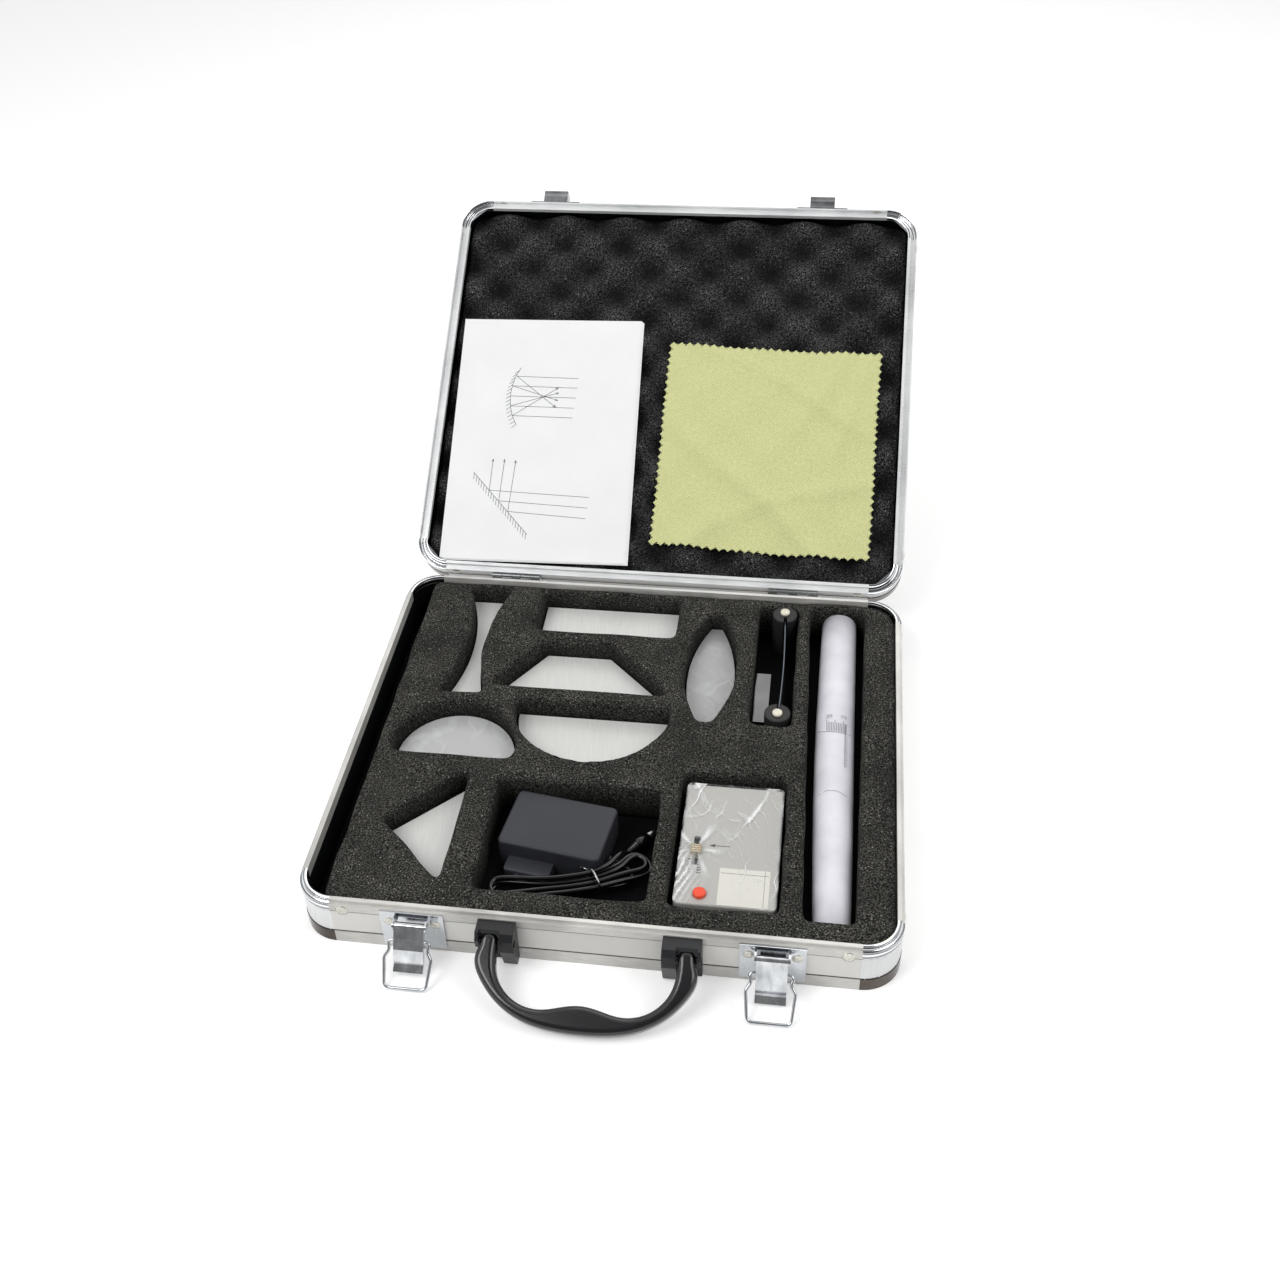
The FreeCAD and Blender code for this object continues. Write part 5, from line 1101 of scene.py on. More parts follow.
# ------------ Studio ------------
@dataclass
class Studio:
    """Camera, soft lights, pale floor and white surroundings."""

    eye: Point = (0.1210, -0.7374, 0.7752)
    turn: Point = (50.62, 2.45, 8.40)
    lens: float = 42.47
    shift: tuple[float, float] = (0.0342, -0.0332)
    floor_half: float = 3.0
    floor_tone: float = 0.86
    floor_glow: float = 0.3
    aim: Point = (0.0, 0.05, 0.08)
    lamps: tuple[tuple[Point, float, float], ...] = (
        ((-0.9, -0.7, 1.5), 0.9, 13.5),
        ((1.1, -0.3, 1.3), 0.8, 6.0),
        ((0.1, 1.3, 1.2), 1.2, 5.0),
    )
    ambient: float = 0.56
    dim_side: Point = (0.1, -0.72, 0.69)
    dim_edge: tuple[float, float] = (0.55, 0.8)
    dim_level: float = 0.24

    def camera(self) -> None:
        """Make the camera and look through it."""
        data = bpy.data.cameras.new("viewer")
        data.lens = self.lens
        data.sensor_width = 36.0
        data.shift_x, data.shift_y = self.shift
        data.clip_start, data.clip_end = 0.01, 50.0
        viewer = linked("viewer", data)
        viewer.location = self.eye
        viewer.rotation_euler = tuple(math.radians(a) for a in self.turn)
        bpy.context.scene.camera = viewer

    def lights(self) -> None:
        """Hang the soft boxes, each turned towards the case."""
        for number, (place, size, power) in enumerate(self.lamps):
            data = bpy.data.lights.new(f"soft_box_{number}", "AREA")
            data.shape = "SQUARE"
            data.size = size
            data.energy = power
            lamp = linked(data.name, data)
            lamp.location = place
            lamp.rotation_euler = (Vector(self.aim) - Vector(place)).to_track_quat("-Z", "Y").to_euler()

    @staticmethod
    def rays(bench: Bench) -> tuple[Socket, Socket]:
        """Tell which kind of ray looks at a surface.

        Args:
            bench: The bench of its material or of the world.

        Returns:
            A socket that is 1 for a camera ray, and one that is 1 for a mirrored or refracted ray.
        """
        path = bench.put("ShaderNodeLightPath")
        glossy, through = path.outputs["Is Glossy Ray"], path.outputs["Is Transmission Ray"]
        return path.outputs["Is Camera Ray"], bench.math("MAXIMUM", glossy, through)

    def surroundings(self) -> None:
        """Light the scene evenly, show white behind it, and keep the room dim above the viewer."""
        world = bpy.data.worlds.new("surroundings")
        bench = Bench.fresh(world)
        seen, mirrored = self.rays(bench)
        heading = bench.put("ShaderNodeTexCoord").outputs["Generated"]
        facing = bench.put("ShaderNodeVectorMath", {0: heading, 1: self.dim_side}, operation="DOT_PRODUCT")
        room = bench.span(facing.outputs["Value"], *self.dim_edge, 1.0, self.dim_level, smooth=True)
        strength = bench.math("MAXIMUM", bench.span(mirrored, 0.0, 1.0, self.ambient, room), seen)
        back = bench.put("ShaderNodeBackground", {"Color": (1.0, 1.0, 1.0, 1.0), "Strength": strength})
        bench.put("ShaderNodeOutputWorld", {"Surface": back.outputs[0]})
        bpy.context.scene.world = world

    def floor(self) -> None:
        """Lay a pale floor that keeps the case's shadow."""
        material = bpy.data.materials.new("pale_floor")
        bench = Bench.fresh(material)
        diffuse = bench.put("ShaderNodeBsdfDiffuse", {"Color": (*(self.floor_tone,) * 3, 1.0)})
        lit = bench.math("MAXIMUM", *self.rays(bench))
        glow = bench.put("ShaderNodeEmission", {"Strength": bench.product(lit, self.floor_glow)})
        both = bench.put("ShaderNodeAddShader", {0: diffuse.outputs[0], 1: glow.outputs[0]})
        bench.put("ShaderNodeOutputMaterial", {"Surface": both.outputs[0]})
        half = self.floor_half
        mesh = bpy.data.meshes.new("floor")
        mesh.from_pydata([(-half, -half, 0), (half, -half, 0), (half, half, 0), (-half, half, 0)], [], [(0, 1, 2, 3)])
        mesh.materials.append(material)
        linked("floor", mesh)
        bpy.context.scene.view_settings.view_transform = "Standard"

    def build(self) -> None:
        """Set up everything but the camera."""
        self.lights()
        self.surroundings()
        self.floor()
        LOG.info("studio: %d lamps", len(self.lamps))


# ------------ Supply lead and adapter ------------
@dataclass(frozen=True)
class Ribs:
    """Rings along a moulded sleeve, each a little wider or narrower than the one before."""

    count: int
    first: float
    step: float
    radius: float
    growth: float
    section: tuple[tuple[float, float], ...]

    def profile(self) -> list[tuple[float, float]]:
        """Return the place along the sleeve and the radius of each corner of the rings."""
        return [(self.first + rib * self.step + along, self.radius + rib * self.growth + out)
                for rib in range(self.count) for along, out in self.section]


@dataclass
class SupplyLead:
    """The adapter's thin lead: folded into a hank, tied once, with a plug on its end."""

    diameter: float = 3.4
    exit: Point = (7.8, -94.0, 14.0)
    route: tuple[Point, ...] = (
        (7.8, -94.0, 14.0), (11.4, -94.9, 13.0), (16.4, -97.0, 11.0), (18.0, -103.4, 10.2),
        (12.4, -109.4, 11.0), (-3.7, -115.1, 13.4), (-19.8, -121.9, 14.6), (-35.3, -125.9, 15.2),
        (-66.3, -134.3, 14.0), (-71.1, -130.0, 13.2), (-71.4, -123.6, 13.2), (-67.1, -118.8, 13.8),
        (-37.1, -116.9, 16.8), (-22.8, -113.3, 16.6), (-8.0, -107.4, 16.4), (7.7, -97.9, 17.6),
        (16.0, -85.5, 15.6), (24.1, -86.2, 13.4), (29.3, -92.4, 12.8), (28.6, -100.5, 13.2),
        (14.4, -107.1, 14.8), (-2.7, -116.9, 16.4), (-19.2, -123.6, 17.8), (-34.9, -128.1, 18.6),
        (-67.0, -136.4, 17.8), (-72.2, -130.5, 17.0), (-71.6, -123.5, 17.0), (-66.8, -119.5, 17.4),
        (-36.4, -120.5, 18.9), (-21.6, -116.7, 18.6), (-6.3, -110.4, 17.2), (9.9, -100.9, 17.4),
        (17.0, -88.5, 17.2), (22.6, -89.0, 16.9), (26.3, -93.4, 16.9), (25.8, -99.0, 17.0),
        (12.3, -104.2, 17.0), (-4.5, -113.7, 17.2), (-20.4, -120.2, 18.6), (-35.6, -124.4, 19.4),
        (-66.0, -133.4, 20.4), (-70.2, -129.6, 20.8), (-70.5, -123.9, 21.0), (-66.7, -119.7, 21.6),
        (-36.7, -118.6, 22.2), (-22.2, -115.0, 22.0), (-7.1, -108.9, 20.8), (2.6, -101.8, 21.4),
        (7.2, -94.6, 21.6), (9.6, -89.6, 20.0), (11.2, -86.6, 16.6), (12.7, -84.2, 14.4),
    )
    plug_aim: Point = (26.2, -60.4, 8.2)
    plug_radius: float = 4.4
    plug_length: float = 21.5
    neck_radius: float = 2.2
    grip_start: float = 10.4
    grip_ribs: Ribs = Ribs(5, 1.2, 1.7, 2.5, 0.3, ((0.0, -0.5), (0.15, 0.0), (0.95, 0.1), (1.1, -0.45)))
    barrel_radius: float = 2.7
    barrel_length: float = 9.2
    bore_radius: float = 1.6
    bore_foot: tuple[float, float] = (3.0, 1.2)
    relief_ends: tuple[tuple[float, float], ...] = ((-7.0, 2.9), (0.0, 1.9))
    relief_ribs: Ribs = Ribs(4, -6.4, 1.6, 2.8, -0.16, ((0.0, 0.0), (0.8, 0.0), (0.95, -0.5), (1.4, -0.5)))
    tie_at: Point = (-5.4, -112.0, 16.8)
    tie_heading: float = 29.0
    tie_wire: float = 1.5
    tie_runs: tuple[tuple[Point, ...], ...] = (
        ((-1.0, 8.6, 0.0), (-0.4, 7.8, 5.6), (0.4, 0.0, 7.4), (1.0, -7.6, 4.4), (1.0, -7.8, -4.6),
         (0.4, 0.0, -6.2), (-0.4, 7.6, -4.6), (-1.0, 8.4, 0.6)),
        ((-1.0, 7.6, 0.4), (-1.8, 9.6, 2.0), (-3.4, 11.0, 1.4), (-5.2, 11.2, 3.4)),
        ((-1.0, 7.6, -0.4), (-0.6, 9.8, 0.6), (0.8, 11.4, 2.8), (0.4, 12.2, 5.2)),
    )

    def centreline(self) -> Piece:
        """Run one smooth spline through the route's control points.

        Returns:
            The lead.
        """
        lead = wire("supply_lead", [self.route], self.diameter, roundness=3)
        lead.data.materials.append(CORD_SKIN.make())
        return lead

    def ringed(self, name: str, start: Vector, along: Vector, profile: Sequence[tuple[float, float]],
               finish: Finish, sides: int = 28) -> Piece:
        """Turn a profile about an axis into a closed piece.

        Args:
            name: The piece's name.
            start: Where the axis starts, in millimetres.
            along: The axis.
            profile: Distance along the axis and radius of each ring, first to last.
            finish: The surface it gets.
            sides: Points round each ring.

        Returns:
            The turned piece.
        """
        axis = along.normalized()
        side = axis.orthogonal().normalized()
        up = axis.cross(side)
        angles = [FULL_TURN * k / sides for k in range(sides)]
        rings = [start + axis * reach + (side * math.cos(a) + up * math.sin(a)) * radius
                 for reach, radius in profile for a in angles]
        return piece_of(name, np.array(rings), tube_faces(sides, len(profile)), finish)

    def plug(self) -> Piece:
        """Turn the plug, with its ribbed neck.

        Returns:
            The grip.
        """
        start, grip, end = Vector(self.route[-1]), self.plug_radius, self.plug_length
        profile = [(0.0, self.neck_radius), *self.grip_ribs.profile(), (self.grip_start, grip - 0.6),
                   (self.grip_start + 0.5, grip), (end - 0.8, grip), (end, grip - 0.7)]
        return self.ringed("lead_plug", start, Vector(self.plug_aim) - start, profile, CORD_SKIN)

    def barrel(self) -> Piece:
        """Turn the plug's bored metal barrel, which starts inside the grip.

        Returns:
            The barrel.
        """
        start, wide = Vector(self.route[-1]), self.barrel_radius
        base = self.plug_length - 0.5
        mouth = base + self.barrel_length
        profile = [(base, wide), (mouth - 0.6, wide), (mouth, wide - 0.2), (mouth, self.bore_radius),
                   (base + self.bore_foot[0], self.bore_foot[1])]
        return self.ringed("plug_barrel", start, Vector(self.plug_aim) - start, profile, STEEL)

    def relief(self) -> Piece:
        """Turn the ribbed sleeve where the lead leaves the adapter.

        Returns:
            The sleeve.
        """
        end = Vector(self.exit)
        profile = [self.relief_ends[0], *self.relief_ribs.profile(), self.relief_ends[1]]
        return self.ringed("lead_relief", end, Vector(self.route[1]) - end, profile, CORD_SKIN)

    def tie(self) -> Piece:
        """Bend the wire tie: one loop round the hank and two splayed ends.

        Returns:
            The tie.
        """
        angle = math.radians(self.tie_heading)
        along = Vector((math.cos(angle), math.sin(angle), 0.0))
        across = Vector((-along.y, along.x, 0.0))
        runs = [[Vector(self.tie_at) + along * a + across * b + Vector((0.0, 0.0, c)) for a, b, c in run]
                for run in self.tie_runs]
        tie = frozen(wire("hank_tie", runs, self.tie_wire, roundness=2), "wire_tie")
        clad(tie, STEEL)
        return tie

    def build(self, kit: Kit) -> None:
        lead = kit.add(self.centreline(), "adapter", "power_cord", "cord_hank")
        plug = kit.add(self.plug(), "adapter", "cord_plug")
        barrel = kit.add(self.barrel(), "adapter")
        relief = kit.add(self.relief(), "adapter")
        tie = kit.add(self.tie(), "adapter", "cord_tie")


# ------------ Foam bed ------------
@dataclass
class FoamBed:
    """The cut foam in the base, with eased edges and a slightly uneven face."""

    cell: float = 2.1
    top: float = 36.0
    low: float = 4.5
    easing: int = 9
    free: tuple[float, float] = (20.0, 32.0)
    sway: float = 0.7
    swell: tuple[float, float] = (0.5, -0.25)
    channel: tuple[tuple[float, float], ...] = ((116.0, 122.0), (170.0, 165.0))
    channel_ends: tuple[tuple[float, float], ...] = ((152.0, 3.0), (-139.0, -3.5))
    channel_reach: float = 4.5
    shade: float = 0.75
    shade_depth: float = 22.0

    def insert(self, kit: Kit) -> Piece:
        """Make the insert even, ease its edges and wave it a little.


        Returns:
            The insert.
        """
        bed = remeshed(merged_copy(kit.node("foam_insert"), "foam_bed_blank"), "foam_bed", self.cell)
        relaxed(bed, self.easing, ramp(points_of(bed)[:, 2], *self.free))
        points = points_of(bed)
        share = ramp(points[:, 2], self.low, self.top)
        points[:, 0] += self.sway * share * waves(points, 46.0, 1.0)
        points[:, 1] += self.sway * share * waves(points, 52.0, 2.0)
        points[:, 2] += share * (self.swell[0] * waves(points, 61.0, 3.0) + self.swell[1])
        channel = ramp(points[:, 0], *self.channel[0]) * ramp(points[:, 0], *self.channel[1])
        for wall, push in self.channel_ends:
            points[:, 1] += push * channel * bell((points[:, 1] - wall) / self.channel_reach)
        set_points(bed, points)
        # Painted shade: the foam is drawn darker the lower it lies, down the walls of its pockets.
        mark(bed, "depth", (self.top - 1.0 - points[:, 2]) / self.shade_depth * self.shade)
        clad(bed, BED_FOAM)
        return bed

    def build(self, kit: Kit) -> None:
        """Set the foam in the base."""
        bed = kit.add(self.insert(kit), "case", "foam_insert", slot="foam_black")


# ------------ Lid liner, made with Geometry Nodes ------------
class ShapeTree:
    """A Geometry Nodes tree with named inputs for its sizes, used once through a modifier."""

    def __init__(self, name: str, sizes: dict[str, float | int]) -> None:
        """Start the tree with its inputs and its output.

        Args:
            name: The tree's name.
            sizes: Each named input with its value.
        """
        self.tree = bpy.data.node_groups.new(name, "GeometryNodeTree")
        self.bench = Bench(self.tree)
        self.sizes = sizes
        self.tree.interface.new_socket("Geometry", in_out="OUTPUT", socket_type="NodeSocketGeometry")
        self.tree.interface.new_socket("Seeds", in_out="INPUT", socket_type="NodeSocketGeometry")
        for label, value in sizes.items():
            kind = "NodeSocketInt" if isinstance(value, int) else "NodeSocketFloat"
            self.tree.interface.new_socket(label, in_out="INPUT", socket_type=kind)
        self.entry = self.bench.put("NodeGroupInput")

    def size(self, label: str) -> Socket:
        """Return the socket of a named size."""
        return self.entry.outputs[label]

    def made(self, shape: Socket, name: str, finish: Finish, seeds: bpy.types.Mesh | None = None) -> Piece:
        """End the tree, run it once and keep its result as a plain mesh.

        Args:
            shape: The geometry's socket.
            name: The piece's name.
            finish: The surface it gets.
            seeds: The points that the tree starts from, if it needs any.

        Returns:
            The plain mesh piece.
        """
        real = self.bench.put("GeometryNodeRealizeInstances", {0: shape})
        surface = self.bench.put("GeometryNodeSetMaterial", {0: real.outputs[0], "Material": finish.make()})
        self.bench.put("NodeGroupOutput", {0: surface.outputs[0]})
        carrier = linked(name + "_source", seeds or bpy.data.meshes.new(name + "_source"))
        run = carrier.modifiers.new("shape", "NODES")
        run.node_group = self.tree
        keys = {item.name: item.identifier for item in self.tree.interface.items_tree if item.in_out == "INPUT"}
        for label, value in self.sizes.items():
            run[keys[label]] = value
        return frozen(carrier, name)


@dataclass
class LidLiner:
    """Egg-crate foam glued in the lid: rows of bumps with hollows between them."""

    length: float = 364.6
    depth: float = 314.6
    face: float = 42.8
    back: float = 55.5
    pitch_x: float = 50.0
    pitch_y: float = 45.0
    hollow: float = 9.0
    corner: float = 12.0
    first: tuple[float, float] = (-2.0, -155.0)
    skirt: float = 6.0
    taper: float = 0.004
    unevenness: float = 0.35
    shade: float = 0.85
    shade_power: float = 1.3

    def blank(self) -> Piece:
        """Draw the face of a slab into bumps.

        Returns:
            The liner, centred at the origin's height.
        """
        tree = ShapeTree("egg_crate", {"Length": self.length * MM, "Depth": self.depth * MM,
                                       "Thickness": (self.back - self.face) * MM, "Pitch X": self.pitch_x * MM,
                                       "Pitch Y": self.pitch_y * MM, "Hollow": self.hollow * MM,
                                       "First X": self.first[0] * MM, "First Y": self.first[1] * MM,
                                       "Columns": 181, "Rows": 157})
        bench = tree.bench
        size = bench.triple(tree.size("Length"), tree.size("Depth"), tree.size("Thickness"))
        slab = bench.put("GeometryNodeMeshCube", {"Size": size, "Vertices X": tree.size("Columns"),
                                                  "Vertices Y": tree.size("Rows"), "Vertices Z": 3})
        place = bench.put("ShaderNodeSeparateXYZ", {0: bench.put("GeometryNodeInputPosition").outputs[0]})
        ridges = []
        for axis, label in enumerate("XY"):
            shifted = bench.math("SUBTRACT", place.outputs[axis], tree.size("First " + label))
            turns = bench.math("DIVIDE", shifted, tree.size("Pitch " + label))
            ridges.append(bench.math("COSINE", bench.product(turns, FULL_TURN)))
        sunk = bench.product(bench.math("SUBTRACT", 1.0, bench.product(*ridges)), 0.5)
        share = bench.math("SUBTRACT", 0.5, bench.math("DIVIDE", place.outputs[2], tree.size("Thickness")))
        lift = bench.product(sunk, tree.size("Hollow"), share)
        shaped = bench.put("GeometryNodeSetPosition", {0: slab.outputs[0], "Offset": bench.triple(z=lift)})
        smooth = bench.put("GeometryNodeSetShadeSmooth", {0: shaped.outputs[0]})
        return tree.made(smooth.outputs[0], "lid_liner", LID_FOAM)

    def sunk(self, x: np.ndarray, y: np.ndarray) -> np.ndarray:
        """Tell how deep the liner's face lies.

        Args:
            x: Places to the right, in millimetres.
            y: Places to the back of the closed lid.

        Returns:
            0 on top of a bump and 1 at the bottom of a hollow, for each place.
        """
        across = np.cos((x - self.first[0]) * FULL_TURN / self.pitch_x)
        return 0.5 - 0.5 * across * np.cos((y - self.first[1]) * FULL_TURN / self.pitch_y)

    def build(self, kit: Kit) -> None:
        """Shape the liner, round its corners and turn it open with the lid.
        """
        liner = self.blank()
        points = points_of(liner)
        points[:, 2] += (self.face + self.back) / 2
        half = np.array([self.length / 2, self.depth / 2]) - self.corner
        over = np.abs(points[:, :2]) - half
        reach = np.linalg.norm(np.maximum(over, 0), axis=1)
        pull = (over > 0).all(axis=1) & (reach > self.corner)
        over[pull] *= (self.corner / reach[pull])[:, None]
        points[pull, :2] = np.sign(points[pull, :2]) * (half + over[pull])
        inward = 1.0 - ramp(points[:, 2], self.face, self.face + self.skirt)
        points[:, :2] *= 1.0 - self.taper * inward[:, None]
        # Painted shade: the hollows between the bumps are drawn darker.
        mark(liner, "depth", self.shade * self.sunk(points[:, 0], points[:, 1]) ** self.shade_power)
        points[:, 2] += self.unevenness * waves(points, 70.0, 4.0) * inward + self.unevenness
        set_points(liner, opened(points))
        kit.add(liner, "lid", "lid_foam", slot="lid_foam_black")


# ------------ What lies on the lid liner ------------
@dataclass
class Booklet:
    """A stapled instruction booklet with two generic ray drawings on its page."""

    centre: tuple[float, float] = (-100.7, 47.6)
    width: float = 148.0
    length: float = 210.0
    face: float = 41.3
    turn: float = -1.3
    leaf: float = 0.2
    spread: float = 1.3
    slips: tuple[tuple[float, float], ...] = ((0.0, 0.0), (1.0, 0.002), (0.4, 0.0), (2.2, 0.003), (1.4, 0.004))
    loose_from: float = 90.0
    curl: float = 0.5
    ripple: float = 0.25
    line: float = 0.36
    print_rise: float = 0.09
    print_wall: float = 0.04
    rays: tuple[Line, ...] = (
        (48.5, 51.5, 99.5, 52.5), (45.6, 60.2, 99.0, 61.0), (44.6, 69.2, 98.6, 69.8), (45.0, 78.0, 98.0, 78.8),
        (47.6, 86.6, 97.4, 87.4), (48.5, 51.5, 83.0, 78.6), (45.6, 60.2, 84.2, 72.4), (45.0, 78.0, 84.4, 65.6),
        (47.6, 86.6, 84.0, 60.8), (35.6, 124.8, 34.8, 151.8), (45.0, 124.8, 43.4, 160.6), (54.2, 125.6, 51.6, 169.4),
        (34.8, 151.8, 116.0, 155.6), (43.4, 160.6, 115.6, 164.6), (51.6, 169.4, 114.6, 173.6),
    )
    flat_mirror: Line = (20.4, 136.5, 68.8, 188.4)
    flat_hatch: tuple[float, float] = (-0.2, 5.2)
    curved_mirror: tuple[float, float, float] = (95.0, 69.0, 50.4)
    curved_reach: float = 0.53
    curved_hatch: tuple[float, float] = (-3.6, 2.6)
    arrows: tuple[Line, ...] = (
        (35.6, 124.8, 0.1, -1.0), (45.0, 124.8, 0.1, -1.0), (54.2, 125.6, 0.1, -1.0), (83.0, 78.6, 1.0, 0.8),
        (84.2, 72.4, 1.0, 0.35), (84.4, 65.6, 1.0, -0.3), (84.0, 60.8, 1.0, -0.7),
    )
    barb: tuple[float, float] = (2.4, 0.8)

    def on_page(self, u: np.ndarray, v: np.ndarray, rise: float | np.ndarray) -> np.ndarray:
        """Turn page places into the open lid's frame.

        Args:
            u: Distance from the page's left edge, in millimetres.
            v: Distance from the page's outer edge, in millimetres.
            rise: Height over the topmost page.

        Returns:
            Points in millimetres.
        """
        angle = math.radians(self.turn)
        x, y = u - self.width / 2, v - self.length / 2
        points = np.stack([self.centre[0] + x * math.cos(angle) - y * math.sin(angle),
                           self.centre[1] + x * math.sin(angle) + y * math.cos(angle),
                           self.face - rise - self.lift(u, v)], axis=1)
        return opened(points)

    def lift(self, u: np.ndarray, v: np.ndarray) -> np.ndarray:
        """Tell how far the page stands off the pack: a little at its loose edge.

        Args:
            u: Distance from the page's left edge, in millimetres.
            v: Distance from the page's outer edge.

        Returns:
            The height at each place.
        """
        loose = ramp(u, self.loose_from, self.width) ** 2
        return self.curl * loose * (0.6 + 0.4 * np.sin(v / 38.0)) + self.ripple * np.sin(u / 31.0) * np.sin(v / 45.0)

    def pages(self) -> Piece:
        """Stack the leaves, each closed and slightly shifted.

        Returns:
            All leaves as one piece.
        """
        columns, rows = 25, 33
        us, vs = np.meshgrid(np.linspace(0, self.width, columns), np.linspace(0, self.length, rows))
        stack = []
        for number, (shift, slip) in enumerate(self.slips):
            depth = number * self.leaf * self.spread
            across, along = (us + shift + vs * slip).ravel(), (vs + 0.6 * shift).ravel()
            sides = [self.on_page(across, along, -(depth + side)) for side in (0.0, self.leaf)]
            stack.append((np.concatenate(sides), sheet_faces(columns, rows)))
        return piece_of("booklet_leaves", *joined(stack), PAPER, smooth=False)

    def drawings(self) -> list[Line]:
        """Draw rays on a curved mirror and on a flat one, each hatched behind.

        Returns:
            The drawings' lines.
        """
        x, y, radius = self.curved_mirror
        arc = [(x - radius * math.cos(a), y + radius * math.sin(a))
               for a in np.linspace(-self.curved_reach, self.curved_reach, 17)]
        lines = [*self.rays, self.flat_mirror, *chained(arc)]
        lines += [(x, y, x + self.curved_hatch[0], y + self.curved_hatch[1]) for x, y in arc[1:]]
        x1, y1, x2, y2 = self.flat_mirror
        for step in np.linspace(0.02, 0.98, 22):
            x, y = x1 + (x2 - x1) * step, y1 + (y2 - y1) * step
            lines.append((x, y, x + self.flat_hatch[0], y + self.flat_hatch[1]))
        back, aside = self.barb
        for x, y, dx, dy in self.arrows:
            lines += [(x, y, x - back * dx + side * dy, y - back * dy - side * dx) for side in (aside, -aside)]
        return lines

    def strokes(self) -> Piece:
        """Print the two drawings on the topmost page.

        Returns:
            The thin ink.
        """
        flat, faces = strips(self.drawings(), self.line, longest=8.0)
        points = self.on_page(flat[:, 0], flat[:, 1], self.print_rise)
        made = piece_of("booklet_drawing", points, faces, INK, smooth=False, closed=False)
        thicken(made, self.print_wall, offset=1.0)
        return made

    def build(self, kit: Kit) -> None:
        """Lay the booklet and its print on the liner."""
        kit.add(self.pages(), "lid", "booklet", slot="booklet_white")
        kit.add(self.strokes(), "lid")


@dataclass
class CleaningCloth:
    """A soft square of microfibre with pinked edges, lying in shallow folds."""

    centre: tuple[float, float] = (80.2, 49.0)
    width: float = 172.0
    length: float = 176.0
    face: float = 42.2
    tooth: float = 6.6
    tooth_depth: float = 3.0
    thickness: float = 0.5
    sag: float = 1.44
    wander: float = 5.0
    fold_height: float = 1.4
    ripple: float = 0.6
    rise: float = 1.0
    skew: float = 0.034
    sweep: tuple[float, float] = (1.6, 2.0)
    slide: float = 1.2
    folds: tuple[tuple[float, ...], ...] = (
        (0.9, 0.62, 4.0, 11.0, 2.6), (0.75, -0.8, -38.0, 9.0, 2.2), (0.35, 1.0, 52.0, 8.0, 1.9),
        (1.0, 0.18, 58.0, 8.0, 1.8), (-0.5, 1.0, -60.0, 7.0, 1.4),
    )

    def fold(self, x: np.ndarray, y: np.ndarray) -> np.ndarray:
        """Tell how far the cloth stands off the liner's bumps.

        Args:
            x: Places across the cloth, from its middle.
            y: Places along it.

        Returns:
            The height at each place: its folds, less where it sags into a hollow.
        """
        ridge = np.zeros_like(x)
        for across, down, place, wide, tall in self.folds:
            bend = self.wander * np.sin((x * down - y * across) / 34.0 + place)
            along = 0.7 + 0.3 * np.sin(y / 30.0 + place)
            ridge += self.fold_height * tall * bell((x * across + y * down - place + bend) / wide) * along
        sag = self.sag * LidLiner().sunk(x + self.centre[0], y + self.centre[1])
        return ridge + self.ripple * np.sin(x / 17.0 + 1.0) * np.sin(y / 21.0) - sag + self.rise

    def pinked(self, count: int) -> np.ndarray:
        """Return how far each of an edge's points lies inwards of the outermost teeth."""
        return self.tooth_depth / 2 * np.abs(np.arange(count) % 4 - 2)

    def build(self, kit: Kit) -> None:
        columns, rows = (4 * round(side / self.tooth) + 1 for side in (self.width, self.length))
        us, vs = np.meshgrid(np.linspace(-0.5, 0.5, columns), np.linspace(-0.5, 0.5, rows))
        x, y = us * self.width, vs * self.length
        flat = np.stack([x.ravel(), y.ravel()], axis=1)
        for edge, sign in ((0, 1), (-1, -1)):
            y[edge] += sign * self.pinked(columns)
            x[:, edge] += sign * self.pinked(rows)
        x = x + self.sweep[0] * np.sin(y / 47.0) - self.skew * y
        y = y + self.sweep[1] * np.sin(x / 52.0 + 0.6) - self.slide
        points = np.stack([self.centre[0] + x.ravel(), self.centre[1] + y.ravel(),
                           (self.face - self.fold(x, y)).ravel()], axis=1)
        faces = [f[::-1] for f in grid_faces(columns, rows)]
        cloth = piece_of("cleaning_square", opened(points), faces, CLOTH, closed=False, flat_map=flat)
        thicken(cloth, self.thickness)
        kit.add(cloth, "lid", "cleaning_cloth", slot="cloth_green")


